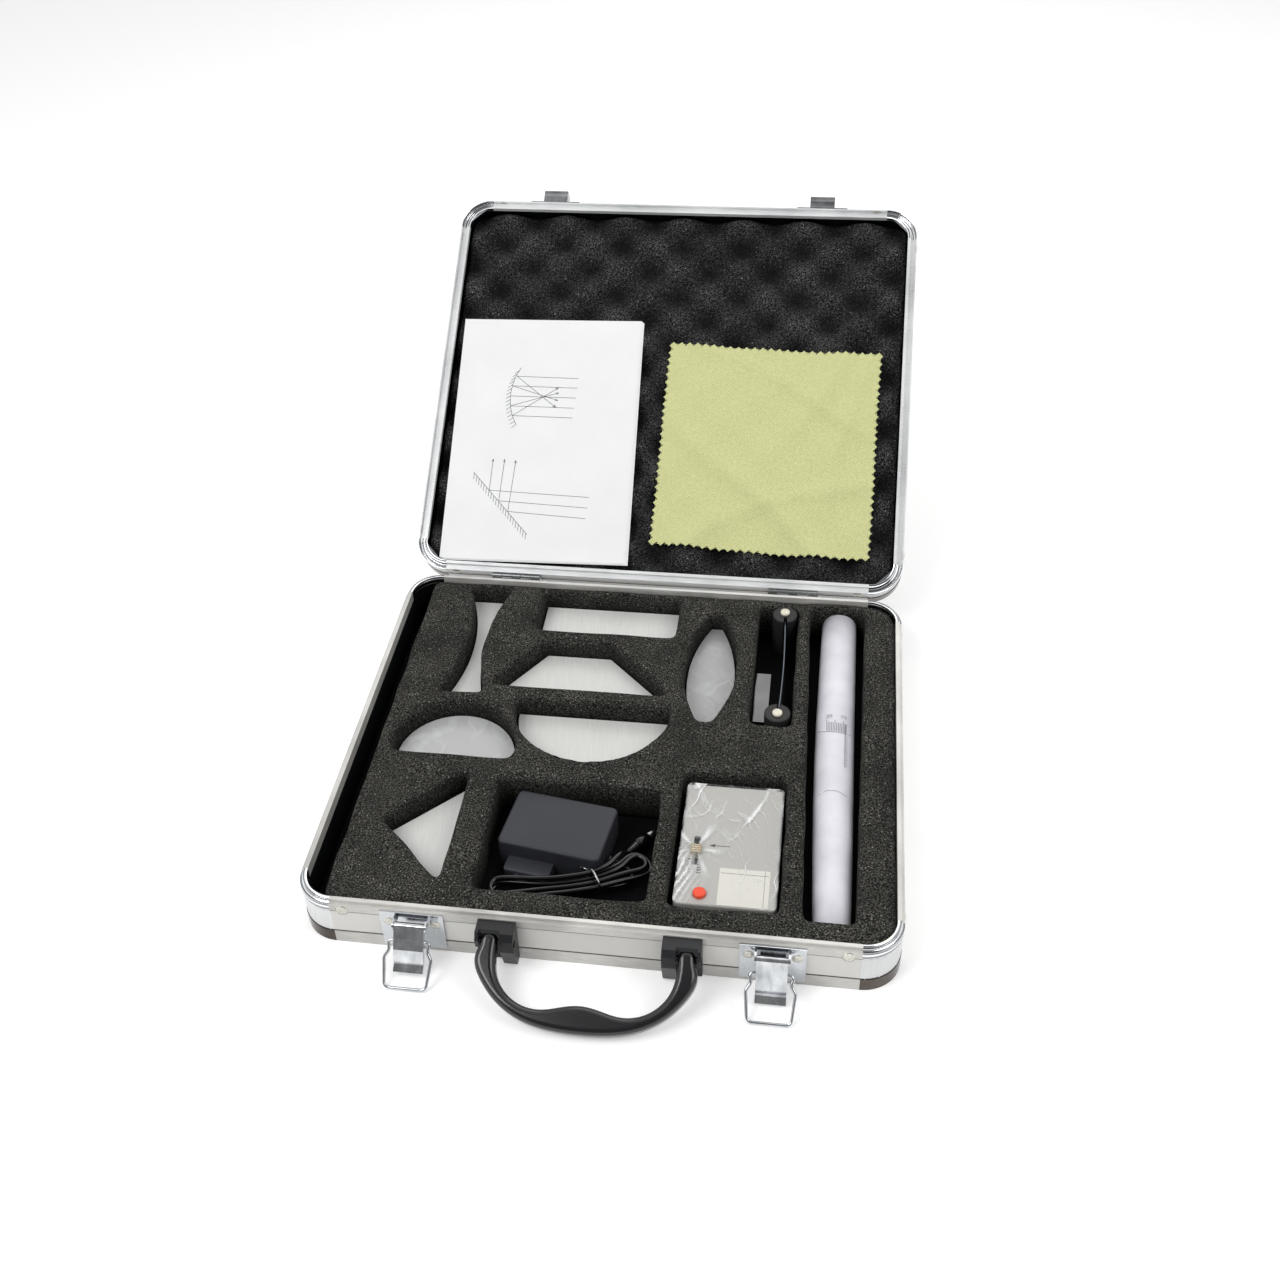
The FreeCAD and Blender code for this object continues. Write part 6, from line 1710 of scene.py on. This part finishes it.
# ------------ Rolled chart ------------
@dataclass
class ChartRoll:
    """A printed chart rolled up a little tighter at its front, with a scale showing on its outer turn."""

    front: float = -141.0
    back: float = 153.5
    centre_x: tuple[float, float] = (146.9, 144.9)
    outer: tuple[float, float] = (12.3, 13.2)
    bulge: float = 1.2
    rests_at: float = 4.7
    hollow: float = 0.7
    turns: float = 5.2
    starts_at: float = 2.2
    sheet: float = 0.22
    ripple: float = 0.12
    uneven_end: float = 0.9
    line: float = 0.3
    print_rise: float = 0.08
    print_wall: float = 0.03
    arc: tuple[float, float, float] = (2.0, 24.0, 0.02)
    ticks: tuple[float, float, float] = (-6.6, 8.0, 1.15)
    tick_lengths: tuple[float, float] = (11.5, 9.0)
    ruler: tuple[float, float, float] = (-6.0, 23.0, 1.9)
    edges: tuple[Line, ...] = ((6.7, 34.0, 6.7, -8.0), (-12.0, -32.0, -5.0, -30.6), (-5.0, -30.6, 2.0, -31.0),
                               (2.0, -31.0, 9.0, -33.0))
    numbers: tuple[tuple[str, float], ...] = (("20", -6.4), ("10", 4.0))
    number_foot: float = 39.0
    digit_step: float = 2.4

    def about(self, y: np.ndarray) -> tuple[np.ndarray, np.ndarray, np.ndarray]:
        """Tell where the roll's outer turn lies.

        Args:
            y: Places along the roll, in millimetres.

        Returns:
            The centre's X, the centre's Z and the outer radius at each place.
        """
        share = (np.asarray(y, float) - self.front) / (self.back - self.front)
        swell = self.bulge * np.sin(math.pi * np.clip(share, 0.0, 1.0))
        radius = self.outer[0] + (self.outer[1] - self.outer[0]) * share + swell
        middle = self.centre_x[0] + (self.centre_x[1] - self.centre_x[0]) * share - swell
        return middle, self.rests_at + radius, radius

    def spiral(self) -> Piece:
        """Roll the paper as one long spiral strip with both faces.

        Returns:
            The rolled paper.
        """
        steps, rows = 190, 9
        angles = np.linspace(0, FULL_TURN * self.turns, steps)
        share = np.linspace(self.hollow, 1.0, steps)
        ys = np.linspace(self.front, self.back, rows)
        points = []
        for side in (0.0, -self.sheet):
            for row, y in enumerate(ys):
                end = {0: 1.0, rows - 1: -1.0}.get(row, 0.0)
                spots = y + end * np.abs(self.uneven_end * np.sin(angles * 0.9))
                x, z, radius = self.about(spots)
                r = (radius - self.ripple) * share + side + self.ripple * np.sin(angles * 1.7 + row)
                turned = angles + self.starts_at
                points.append(np.stack([x + r * np.cos(turned), spots, z + r * np.sin(turned)], axis=1))
        return piece_of("rolled_chart", np.concatenate(points), sheet_faces(steps, rows), CHART_PAPER)

    @staticmethod
    def digit(which: str, u: float, v: float) -> list[Line]:
        """Return the strokes of a 0, 1 or 2 that stands at a place on the chart.

        Args:
            which: The digit.
            u: Its centre across the roll, in millimetres.
            v: Its foot along the roll.

        Returns:
            Lines, each from a place to a place.
        """
        shapes = {
            "0": [(0.9 * math.cos(a), 1.5 + 1.5 * math.sin(a)) for a in np.linspace(0, FULL_TURN, 11)],
            "1": [(-0.5, 2.4), (0.0, 3.0), (0.0, 0.0)],
            "2": [(-0.8, 2.3), (-0.3, 3.0), (0.5, 2.9), (0.8, 2.1), (-0.8, 0.0), (0.9, 0.0)],
        }
        return chained([(u + x, v + y) for x, y in shapes[which]])

    def print_lines(self) -> list[Line]:
        """Draw the degree scale: an arc with ticks, its numbers, and a ruler down one side.

        Returns:
            The scale's lines.
        """
        middle, foot, bend = self.arc
        lines = chained([(u, foot + bend * (u - middle) ** 2) for u in np.linspace(-15.0, 12.0, 15)])
        for number, u in enumerate(np.arange(*self.ticks)):
            low = foot + 0.6 + bend * (u - middle) ** 2
            lines.append((u, low, u * 1.05, low + self.tick_lengths[number % 5 > 0]))
        lines += [(7.0, y, 8.8, y) for y in np.arange(*self.ruler)]
        lines += self.edges
        for text, u in self.numbers:
            for place, letter in enumerate(text):
                lines += self.digit(letter, u + self.digit_step * place, self.number_foot)
        return lines

    def scale(self) -> Piece:
        """Bend the print round the roll.

        Returns:
            The thin print.
        """
        flat, faces = strips(self.print_lines(), self.line, longest=5.0)
        x, z, radius = self.about(flat[:, 1])
        angle = math.pi / 2 - flat[:, 0] / radius
        r = radius + self.print_rise
        bent = np.stack([x + r * np.cos(angle), flat[:, 1], z + r * np.sin(angle)], axis=1)
        made = piece_of("chart_scale", bent, faces, PALE_INK, smooth=False, closed=False)
        thicken(made, self.print_wall)
        return made

    def build(self, kit: Kit) -> None:
        """Roll the chart and print its scale."""
        kit.add(self.spiral(), "chart_roll", "paper_roll", slot="paper_white")
        kit.add(self.scale(), "chart_roll")


# ------------ Ray box ------------
@dataclass
class RayBoxTrim:
    """What shows on the ray box: its crumpled clear bag, the bare label place and the switch's scale."""

    top: float = 30.2
    centre: Point = (80.0, -84.0, 19.0)
    half: Point = (32.0, 51.0, 15.0)
    switch: tuple[float, float] = (58.4, -91.0)
    film_cell: float = 1.3
    film_top: float = 26.0
    loose: float = 0.35
    wrinkle: float = 0.8
    draw_in: tuple[float, float] = (0.15, 0.25)
    tent: float = 2.5
    tent_reach: float = 6.5
    slack: float = 1.6
    slack_at: tuple[float, float] = (-34.0, -32.0)
    slack_reach: tuple[float, float] = (9.0, 18.0)
    # Centre and reach of the painted highlight streaks at the bag's front left corner.
    painted_glint_at: tuple[float, float] = (-34.0, -30.0)
    painted_glint_reach: tuple[float, float] = (11.0, 20.0)
    plates: tuple[tuple[str, tuple[float, float], tuple[float, float], float, Finish], ...] = (
        ("label_place", (75.0, 107.0), (-134.0, -104.0), 0.14, LABEL),
        ("label_rule", (75.8, 106.2), (-108.3, -107.9), 0.17, PALE_INK),
        ("label_edge", (103.6, 103.9), (-133.6, -104.4), 0.17, PALE_INK),
        ("arrow_shaft", (69.5, 80.0), (-86.2, -85.7), 0.08, INK),
    )
    arrow: tuple[tuple[float, float], ...] = ((66.4, -85.95), (70.2, -87.3), (70.2, -84.6))
    ink: float = 0.08
    gap: float = 0.005
    marks_from: Point = (-3.2, -18.4, 0.05)

    def outer_wall(self, kit: Kit) -> Piece:
        """Copy the bag without its inner wall.


        Returns:
            The copy.
        """
        film = merged_copy(kit.node("ray_box_bag"), "bag_blank")
        work = bmesh.new()
        work.from_mesh(film.data)
        bmesh.ops.delete(work, geom=[face for face in work.faces if self.is_inner(face)], context="FACES")
        work.to_mesh(film.data)
        work.free()
        return film

    def bag(self, kit: Kit) -> Piece:
        """Draw the bag close to the box and crease it: a tent over the switch, slack at its front left.

        Returns:
            The bag, with painted highlights marked for the finish: glints round the switch, and white streaks at its
            front left corner and along its sides.
        """
        bag = remeshed(self.outer_wall(kit), "clear_bag", self.film_cell)
        points = points_of(bag)
        x, y = points[:, 0].copy(), points[:, 1].copy()
        local = points[:, :2] - np.array(self.centre[:2])
        over = points[:, 2] > self.film_top
        away = np.hypot(x - self.switch[0], (y - self.switch[1]) * 0.62)
        bearing = np.arctan2(y - self.switch[1], x - self.switch[0])
        wrinkle = np.abs(waves(points, 21.0, 5.0)) ** 0.7
        tent = self.tent * bell(away / self.tent_reach) * (0.8 + 0.2 * np.cos(7 * bearing))
        slack = self.slack * bell(*((local - self.slack_at) / self.slack_reach).T)
        rise = self.loose + self.wrinkle * wrinkle + tent + slack * (0.5 + 0.5 * np.sin(x * 1.3 + y * 0.25))
        points[:, 2] = np.where(over, np.minimum(self.top + rise, points[:, 2]), points[:, 2])
        sides = np.sign(local) * (np.abs(local) > np.array(self.half[:2]) - 1.5)
        points[:, :2] -= sides * (self.draw_in[0] + self.draw_in[1] * wrinkle[:, None])
        # Painted highlights, stored under the fold attribute: glints spreading from the switch, white streaks at the
        # front left corner and along the left and right sides.
        painted_glint_spokes = np.clip(np.cos(5 * bearing + 0.6) * 0.5 + np.cos(11 * bearing) * 0.6, 0, 1)
        x, y = points[:, 0], points[:, 1]
        painted_glint_streaks = np.clip(0.1 + 1.2 * np.sin(x * 1.4 - y * 0.6 + 2.5 * waves(points, 30.0, 8.0)), 0, 1)
        corner = np.clip(1.8 * bell(*((local - self.painted_glint_at) / self.painted_glint_reach).T), 0, 1)
        rim = ramp(np.abs(local[:, 0]) / self.half[0], 0.9, 1.0) * np.abs(waves(points, 26.0, 9.0))
        painted_switch_glints = 0.9 * painted_glint_spokes * bell((away - 9.0) / 7.0) * over
        mark(bag, "fold", np.maximum.reduce([painted_switch_glints, painted_glint_streaks * corner, 0.6 * rim]))
        set_points(bag, points)
        clad(bag, BAG)
        return bag

    def is_inner(self, face: bmesh.types.BMFace) -> bool:
        """Tell whether a face is on the bag's inner wall, whose faces look towards the box."""
        away = face.calc_center_median() / MM - Vector(self.centre)
        return face.normal.dot(Vector([away[axis] / self.half[axis] ** 2 for axis in range(3)])) < 0

    def marks(self) -> Piece:
        """Set two short columns of marks beside the switch's slot.

        Returns:
            All marks as one piece.
        """
        tree = ShapeTree("switch_marks", {"Pitch": 2.1 * MM, "Length": 2.6 * MM, "Width": 0.9 * MM, "Gap": 6.4 * MM,
                                          "Thickness": self.ink * MM, "Count": 6, "Columns": 2})
        bench = tree.bench
        across = bench.put("GeometryNodeMeshLine", {"Count": tree.size("Columns"),
                                                    "Offset": bench.triple(x=tree.size("Gap"))}, mode="OFFSET")
        line = bench.put("GeometryNodeMeshLine", {"Count": tree.size("Count"),
                                                  "Offset": bench.triple(y=tree.size("Pitch"))}, mode="OFFSET")
        size = bench.triple(tree.size("Length"), tree.size("Width"), tree.size("Thickness"))
        bar = bench.put("GeometryNodeMeshCube", {"Size": size})
        column = bench.put("GeometryNodeInstanceOnPoints", {0: line.outputs[0], 2: bar.outputs[0]})
        solid = bench.put("GeometryNodeRealizeInstances", {0: column.outputs[0]})
        rows = bench.put("GeometryNodeInstanceOnPoints", {0: across.outputs[0], 2: solid.outputs[0]})
        made = tree.made(rows.outputs[0], "switch_scale", INK)
        set_points(made, points_of(made) + np.array([*self.switch, self.top]) + np.array(self.marks_from))
        return made

    def build(self, kit: Kit) -> None:
        """Dress the ray box.
        """
        foot = self.top + self.gap
        for name, (left, right), (front, back), rise, finish in self.plates:
            plan = ((left, front), (right, front), (right, back), (left, back))
            kit.add(piece_of(name, *prism(plan, foot, self.top + rise), finish, smooth=False), "ray_box")
        head = piece_of("arrow_head", *prism(self.arrow, foot, self.top + self.ink), INK, smooth=False)
        kit.add(head, "ray_box")
        kit.add(self.marks(), "ray_box")
        kit.add(self.bag(kit), "ray_box", "ray_box_bag", slot="bag_clear")


# ------------ Mirror set ------------
@dataclass
class MirrorSet:
    """The springy mirror band between its posts, and the pale screws on top of them."""

    x: float = 103.8
    ends: tuple[float, float] = (40.1, 139.2)
    low: float = 8.3
    high: float = 32.2
    bow: float = 1.3
    thickness: float = 0.7
    screws: tuple[tuple[float, float], ...] = ((103.4, 144.6), (103.4, 34.7))
    screw_top: float = 37.65
    screw_radius: float = 3.5

    def band(self) -> Piece:
        """Bow the thin band a little to the right.

        Returns:
            The band.
        """
        rows = 25
        ys = np.linspace(*self.ends, rows)
        middle, half = sum(self.ends) / 2, (self.ends[1] - self.ends[0]) / 2
        xs = self.x + self.bow * (1 - ((ys - middle) / half) ** 2)
        wall = self.thickness / 2
        section = ((-wall, self.low), (wall, self.low), (wall, self.high), (-wall, self.high))
        points = [(x + dx, y, z) for x, y in zip(xs, ys) for dx, z in section]
        return piece_of("mirror_band", np.array(points), tube_faces(len(section), rows), BAND, smooth=False)

    def build(self, kit: Kit) -> None:
        """Stand the band in its posts and cap the screws.
        """
        kit.add(self.band(), "mirror_set", "mirror_strip")
        caps = DomedHeads(IVORY, 0.12, 0.55).made("post_screw_caps", [
            ((x, y, self.screw_top), (0.0, 0.0, 1.0), self.screw_radius) for x, y in self.screws])
        kit.add(caps, "mirror_set")


# ------------ Rivets and screw caps, made with Geometry Nodes ------------
@dataclass(frozen=True)
class DomedHeads:
    """Round domed heads, each with a small dent in its middle."""

    finish: Finish
    dome: float = 0.2
    foot: float = 0.3

    def made(self, name: str, spots: Sequence[tuple[Point, Point, float]]) -> Piece:
        """Set one head on each spot.

        Args:
            name: The piece's name.
            spots: Each head's place in millimetres, the way it looks, and its radius.

        Returns:
            All heads as one plain mesh piece.
        """
        seeds = bpy.data.meshes.new(name + "_spots")
        seeds.from_pydata([tuple(v * MM for v in place) for place, _, _ in spots], [], [])
        looks = seeds.attributes.new("outward", "FLOAT_VECTOR", "POINT")
        looks.data.foreach_set("vector", [v for _, way, _ in spots for v in way])
        reach = seeds.attributes.new("reach", "FLOAT", "POINT")
        reach.data.foreach_set("value", [radius for _, _, radius in spots])
        tree = ShapeTree(name, {"Dome": self.dome, "Foot": self.foot, "Dent": self.dome * 0.6, "Dent Reach": 0.1,
                                "Sinking": 0.48, "Sides": 20})
        bench = tree.bench
        disc = bench.put("GeometryNodeMeshCylinder", {"Vertices": tree.size("Sides"), "Side Segments": 1,
                                                      "Fill Segments": 4, "Radius": 1.0,
                                                      "Depth": tree.size("Foot")}, fill_type="TRIANGLE_FAN")
        place = bench.put("ShaderNodeSeparateXYZ", {0: bench.put("GeometryNodeInputPosition").outputs[0]})
        x, y, z = place.outputs
        square = bench.math("ADD", bench.product(x, x), bench.product(y, y))
        arch = bench.product(tree.size("Dome"), bench.math("SUBTRACT", 1.0, square))
        middle = bench.math("LESS_THAN", square, bench.product(tree.size("Dent Reach"), tree.size("Dent Reach")))
        shape = bench.math("SUBTRACT", arch, bench.product(tree.size("Dent"), middle))
        raised = bench.product(bench.math("GREATER_THAN", z, 0.0), shape)
        lift = bench.math("SUBTRACT", raised, bench.product(tree.size("Foot"), tree.size("Sinking")))
        head = bench.put("GeometryNodeSetPosition", {0: disc.outputs[0], "Offset": bench.triple(z=lift)})
        smooth = bench.put("GeometryNodeSetShadeSmooth", {0: head.outputs[0]})
        way = bench.put("GeometryNodeInputNamedAttribute", {"Name": "outward"}, data_type="FLOAT_VECTOR")
        turn = bench.put("FunctionNodeAlignRotationToVector", {"Vector": way.outputs[0]}, axis="Z")
        wide = bench.put("GeometryNodeInputNamedAttribute", {"Name": "reach"}, data_type="FLOAT")
        placed = bench.put("GeometryNodeInstanceOnPoints", {
            0: tree.entry.outputs["Seeds"], 2: smooth.outputs[0], "Rotation": turn.outputs[0],
            "Scale": bench.product(wide.outputs[0], MM)})
        return tree.made(placed.outputs[0], name, self.finish, seeds)


@dataclass
class Rivets:
    """Rivets of the corner fittings, latch plates, strikes and hinge leaves."""

    half: tuple[float, float] = (190.0, 165.0)
    inset: float = 33.0
    rail_heights: tuple[float, float] = (31.0, 40.7)
    plate_heights: tuple[float, float] = (26.3, 45.0)
    leaf_heights: tuple[float, float] = (30.5, 46.7)
    plate_face: float = -166.2
    leaf_face: float = 165.9
    latch_x: float = 112.0
    plate_step: float = 14.8
    hinge_x: float = 108.0
    leaf_step: float = 12.67
    radii: tuple[float, float, float] = (4.2, 3.6, 2.0)

    def spots(self, part: int) -> list[tuple[Point, Point, float]]:
        """Place the rivets of one half of the case.

        Args:
            part: 0 for the base and 1 for the closed lid.

        Returns:
            Each rivet's place, the way it looks and its radius.
        """
        found: list[tuple[Point, Point, float]] = []
        wide, deep = self.half
        rail = self.rail_heights[part]
        for side in (-1, 1):
            for end in (-1, 1):
                found.append(((side * (wide - self.inset), end * deep, rail), (0.0, end, 0.0), self.radii[0]))
                found.append(((side * wide, end * (deep - self.inset), rail), (side, 0.0, 0.0), self.radii[0]))
                x = side * self.latch_x + end * self.plate_step
                found.append(((x, self.plate_face, self.plate_heights[part]), (0.0, -1.0, 0.0), self.radii[1]))
            for step in (-1, 0, 1):
                x = side * self.hinge_x + step * self.leaf_step
                found.append(((x, self.leaf_face, self.leaf_heights[part]), (0.0, 1.0, 0.0), self.radii[2]))
        return found

    def build(self, kit: Kit) -> None:
        """Set the base's rivets, then the lid's, turned open with it.
        """
        kit.add(DomedHeads(RIVET).made("base_rivet_heads", self.spots(0)), "case", "base_rivets")
        lid = DomedHeads(RIVET).made("lid_rivet_heads", self.spots(1))
        set_points(lid, opened(points_of(lid)))
        kit.add(lid, "lid", "lid_rivets")


# ------------ Case ------------
@dataclass
class CaseDressing:
    """Finishes of the case, its fittings and every other solid that keeps its own form."""

    inside: tuple[float, float] = (186.3, 161.3)
    corner: float = 21.3
    lining: tuple[float, float, float] = (40.3, 55.2, 55.5)
    lining_wall: float = 0.3
    turned_in: float = 6.4
    outside: tuple[float, float] = (189.7, 164.7)
    outer_corner: float = 24.7
    seam_wide: float = 0.8
    seam_deep: float = 0.1
    base_seams: tuple[float, float] = (10.4, 29.6)
    lid_seams: tuple[float, float] = (42.7, 48.1)
    gusset_at: tuple[float, float] = (182.7, 157.7)
    gusset_legs: tuple[float, float] = (9.2, 13.4)
    gusset_z: tuple[float, float] = (36.9, 37.9)

    @staticmethod
    def ring(half: tuple[float, float], corner: float, section: Sequence[tuple[float, float]]) -> Mould:
        """Return a closed band that follows the case's rounded plan.

        Args:
            half: Half its length and half its depth.
            corner: Its corner radius.
            section: Corners of its section, each how far in from the outside and how high.

        Returns:
            The points and the faces.
        """
        loops = []
        for inward, height in section:
            for quarter, (sx, sy) in enumerate(((1, 1), (-1, 1), (-1, -1), (1, -1))):
                for angle in np.linspace(math.pi / 2 * quarter, math.pi / 2 * (quarter + 1), 9):
                    loops.append((sx * (half[0] - corner) + (corner - inward) * math.cos(angle),
                                  sy * (half[1] - corner) + (corner - inward) * math.sin(angle), height))
        count = len(loops) // len(section)
        last = (len(section) - 1) * count
        faces: list[tuple[int, ...]] = list(grid_faces(count, len(section), closed=True))
        faces += [(last + i, last + (i + 1) % count, (i + 1) % count, i) for i in range(count)]
        return np.array(loops), faces

    def lid_lining(self) -> Piece:
        """Line the lid's walls thinly in black, turned in under the liner.

        Returns:
            The lining.
        """
        low, step, top = self.lining
        wall, floor = self.lining_wall, self.turned_in
        section = ((0.0, low), (0.0, top), (floor, top), (floor, step), (wall, step), (wall, low))
        points, faces = self.ring(self.inside, self.corner, section)
        return piece_of("lid_lining", opened(points), faces, LINING, smooth=False)

    def seams(self, name: str, heights: tuple[float, float], lid: bool) -> Piece:
        """Return thin dark strips of painted shadow along the joints between the panels and the rails.

        Args:
            name: The piece's name.
            heights: The middle of each joint.
            lid: Turn them open with the lid.

        Returns:
            The joints as one piece.
        """
        half, deep = self.seam_wide / 2, self.seam_deep
        sections = [((0.0, z - half), (0.0, z + half), (deep, z + half), (deep, z - half)) for z in heights]
        points, faces = joined([self.ring(self.outside, self.outer_corner, section) for section in sections])
        return piece_of(name, opened(points) if lid else points, faces, SEAM, smooth=False)

    def gussets(self) -> Piece:
        """Lay a bright bar across each inner corner of the lid's rim.

        Returns:
            All bars as one piece.
        """
        (x, y), (near, far) = self.gusset_at, self.gusset_legs
        plan = ((x, y - near), (x, y - far), (x - far, y), (x - near, y))
        points, faces = joined([prism([(sx * px, sy * py) for px, py in plan], *self.gusset_z)
                                     for sx in (1, -1) for sy in (1, -1)])
        return piece_of("lid_corner_bars", opened(points), faces, CHROME, smooth=False)

    def build(self, kit: Kit) -> None:
        """Give each kept node its finish, and add what lines and joins the case.
        """
        for name, finish in NODE_FINISHES.items():
            kit.dress(name, finish)
        kit.add(self.lid_lining(), "lid")
        kit.add(self.gussets(), "lid")
        kit.add(self.seams("base_seams", self.base_seams, lid=False), "case")
        kit.add(self.seams("lid_seams", self.lid_seams, lid=True), "lid")
        LOG.info("dressed %d solids", len(NODE_FINISHES))


def main() -> None:
    """Build the dressed kit, piece by piece."""
    logging.basicConfig(level=logging.INFO, format="%(name)s %(message)s")
    kit = Kit(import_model())
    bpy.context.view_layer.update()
    studio = Studio()
    studio.camera()
    SupplyLead().build(kit)
    CaseDressing().build(kit)
    FoamBed().build(kit)
    LidLiner().build(kit)
    Booklet().build(kit)
    CleaningCloth().build(kit)
    ChartRoll().build(kit)
    RayBoxTrim().build(kit)
    MirrorSet().build(kit)
    Rivets().build(kit)
    studio.build()


if __name__ == "__main__":
    main()
